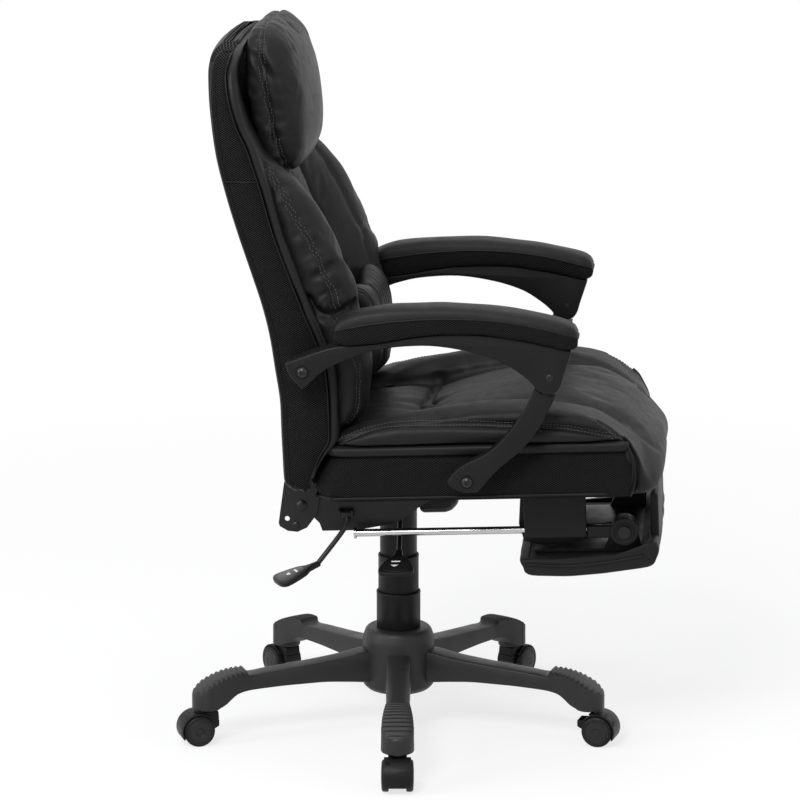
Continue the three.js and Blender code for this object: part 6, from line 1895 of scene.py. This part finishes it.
TRAY_REAR = 205
TRAY_LENGTH = 213
TRAY_HALF = 185
TRAY_FLOOR = -137
TRAY_WALL = 53
TRAY_SIDE = [[0, 0.56], [0, 0.3], [0.06, 0.05], [0.36, 0], [0.62, 0.08], [0.92, 0.24], [0.985, 0.5], [1, 0.82], [0.95, 1],
             [0.79, 0.72], [0.26, 0.56]]
TRAY_ACROSS = [[-1, 0.9], [-0.97, 0.985], [-0.85, 1], [0, 1.02], [0.85, 1], [0.97, 0.985], [1, 0.9]]


def make_footrest_pad():
    """Footrest pad, folded upside down: leather tray with a padded sole, rim and front lip."""
    middle_x, middle_z = TRAY_REAR + TRAY_LENGTH / 2, TRAY_FLOOR + TRAY_WALL / 2
    places = np.concatenate([np.linspace(-1, -0.94, 8), np.linspace(-0.92, 0.92, 50), np.linspace(0.94, 1, 8)])
    sizes = smooth_table(TRAY_ACROSS, places)[:, 0]
    outline = soft_outline(TRAY_SIDE, (), 5)
    rings = []
    for across, size in zip(places, sizes):
        rings.append([seat_point(middle_x + (TRAY_REAR + x * TRAY_LENGTH - middle_x) * size, across * TRAY_HALF,
                                 middle_z + (TRAY_FLOOR + z * TRAY_WALL - middle_z) * size) for x, z in outline])
    pad = as_object("footrest_pad_leather", *lofted(rings), LEATHER)
    cavity = [(214, -109.6), (390.2, -109.6), (390.2, -20), (214, -20)]
    boolean(pad, [plate("cavity", cavity, 2 * (TRAY_HALF - 9), 0, seat_point, LEATHER, 2, 2)])
    lip = plate("lip", [(404.5, -112), (416, -112), (418, -98), (418, -22), (414, -18), (409, -18), (404.5, -22)],
                262, 0, seat_point, LEATHER, 3, 4)
    boolean(pad, [lip], "UNION")
    finish_mesh(pad, weld=0.00005)
    sharpen(pad, 45)
    line = []
    for across, size in zip(places, sizes):
        line.append(seat_point(middle_x + (TRAY_REAR + 0.93 * TRAY_LENGTH - middle_x) * size, across * (TRAY_HALF - 1),
                               middle_z + (TRAY_FLOOR + 0.26 * TRAY_WALL - middle_z) * size))
    for half in (-1, 1):
        end = sizes[0]
        side_line = [seat_point(middle_x + (TRAY_REAR + x * TRAY_LENGTH - middle_x) * 0.97, half * (TRAY_HALF - 1),
                                middle_z + (TRAY_FLOOR + z * TRAY_WALL - middle_z) * 0.97)
                     for x, z in ((0.02, 0.42), (0.3, 0.34), (0.6, 0.42), (0.9, 0.62))]
        side_name = "left" if half > 0 else "right"
        settle(piping(f"footrest_piping_{side_name}", pad, resampled(catmull([tuple(p) for p in side_line], 12), 60), 0.0022, 0.4),
               "footrest", "leather")
    billow(pad, 0.0014, 0.05, (1, 1, 1), 15.0)
    settle(pad, "footrest", "leather", "footrest_pad")


# CAD nodes that keep their shape: fine bevels and a finished material
KEPT_STEEL = ("mechanism_housing", "side_plate_left", "side_plate_right", "back_bracket_left", "back_bracket_right",
              "hinge_axle", "lock_pin", "lock_body", "footrest_frame")


def dress_kept_nodes():
    for name in (*KEPT_STEEL, "lock_bar", "seat_board"):
        thing = frame["nodes"][name]
        weld = thing.modifiers.new("weld", "WELD")
        weld.merge_threshold = 0.00002
        bevel = thing.modifiers.new("bevel", "BEVEL")
        bevel.width = 0.0009
        bevel.segments = 2
        bevel.limit_method = "ANGLE"
        bevel.angle_limit = math.radians(40)
        material = CHROME if name == "lock_bar" else BOARD if name == "seat_board" else STEEL
        for slot in thing.material_slots:
            slot.material = material


make_seat()
make_boxing()
make_shell()
make_welt()
make_back_cushion()
make_headrest()
make_lumbar()
for arm_name, arm_side in (("left", 1), ("right", -1)):
    make_arm(arm_name, arm_side)
    make_guide(arm_name, arm_side)
    make_eye_arm(arm_name, arm_side)
make_base()
for caster_number in range(1, 6):
    make_caster(caster_number)
make_column()
make_knob()
make_lever("height_lever", (7, -51, -44), [(7, -64, -53), (7, -121, -110)], (7, -193, -128), "height_lever")
make_lever("recline_lever", (-71, -146, -38), [(-71, -155, -56), (-115, -188, -108)], (-187, -224, -132), "recline_lever")
make_slides()
make_footrest_pad()
dress_kept_nodes()


# Floor, light and background: white towards the camera and in reflections, with the object's shadow kept
FLOOR_REACH = 30
SHADOW_SHARE = 0.26
SHADOW_NEAR, SHADOW_FAR = 0.7, 2.4


def background_rays(nodes):
    """1 for camera, glossy and transmission rays, and 0 for the rays that light the object."""
    path = nodes.add("LightPath")
    seen = nodes.math("MAXIMUM", path.outputs["Is Camera Ray"], path.outputs["Is Glossy Ray"])
    return nodes.math("MAXIMUM", seen, path.outputs["Is Transmission Ray"])


def make_stage():
    floor_mesh = bpy.data.meshes.new("floor")
    corners = [(x * FLOOR_REACH, y * FLOOR_REACH, 0) for x, y in ((-1, -1), (1, -1), (1, 1), (-1, 1))]
    floor_mesh.from_pydata(corners, [], [(0, 1, 2, 3)])
    floor = bpy.data.objects.new("floor", floor_mesh)
    bpy.context.scene.collection.objects.link(floor)
    nodes = Nodes("floor")
    away = nodes.add("VectorMath", operation="LENGTH")
    nodes.link(nodes.coords(), away.inputs[0])
    lit = nodes.add("BsdfDiffuse")
    nodes.feed(lit, "Color", grey(0.9))
    white = nodes.add("Emission")
    nodes.feed(white, "Color", grey(1.0))
    plain = nodes.ramp(away.outputs["Value"], 1 - SHADOW_SHARE, 1.0, SHADOW_NEAR, SHADOW_FAR)
    mix = nodes.add("MixShader")
    nodes.link(nodes.math("MULTIPLY", plain, background_rays(nodes)), mix.inputs[0])
    nodes.link(lit.outputs[0], mix.inputs[1])
    nodes.link(white.outputs[0], mix.inputs[2])
    nodes.link(mix.outputs[0], nodes.output.inputs["Surface"])
    floor_mesh.materials.append(nodes.material)


def make_world():
    world = bpy.data.worlds.new("studio")
    bpy.context.scene.world = world
    world.use_nodes = True
    world.node_tree.nodes.clear()
    nodes = Nodes.__new__(Nodes)
    nodes.tree = world.node_tree
    output = nodes.add("OutputWorld")
    light = nodes.add("Background")
    nodes.feed(light, "Color", (0.96, 0.98, 1.0, 1.0))
    nodes.feed(light, "Strength", 0.5)
    white = nodes.add("Background")
    nodes.feed(white, "Color", grey(1.0))
    mix = nodes.add("MixShader")
    nodes.link(background_rays(nodes), mix.inputs[0])
    nodes.link(light.outputs[0], mix.inputs[1])
    nodes.link(white.outputs[0], mix.inputs[2])
    nodes.link(mix.outputs[0], output.inputs["Surface"])


def area_light(name, place, target, size, energy, tall=None):
    data = bpy.data.lights.new(name, "AREA")
    data.shape = "RECTANGLE"
    data.size = size
    data.size_y = tall or size
    data.energy = energy
    lamp = bpy.data.objects.new(name, data)
    bpy.context.scene.collection.objects.link(lamp)
    lamp.location = place
    lamp.rotation_euler = (Vector(target) - Vector(place)).to_track_quat("-Z", "Y").to_euler()


make_stage()
make_world()
area_light("key", (-0.8, -2.6, 2.8), (0, 0, 0.7), 1.2, 84)
area_light("front", (3.2, -1.2, 1.8), (0, 0, 0.7), 1.8, 14, 2.2)
area_light("rear", (-3.0, -1.4, 1.8), (0, 0, 0.7), 0.8, 44, 2.2)
area_light("top", (0.3, 0.2, 3.4), (0, 0, 0.5), 2.0, 26)
bpy.context.scene.view_settings.view_transform = "Standard"
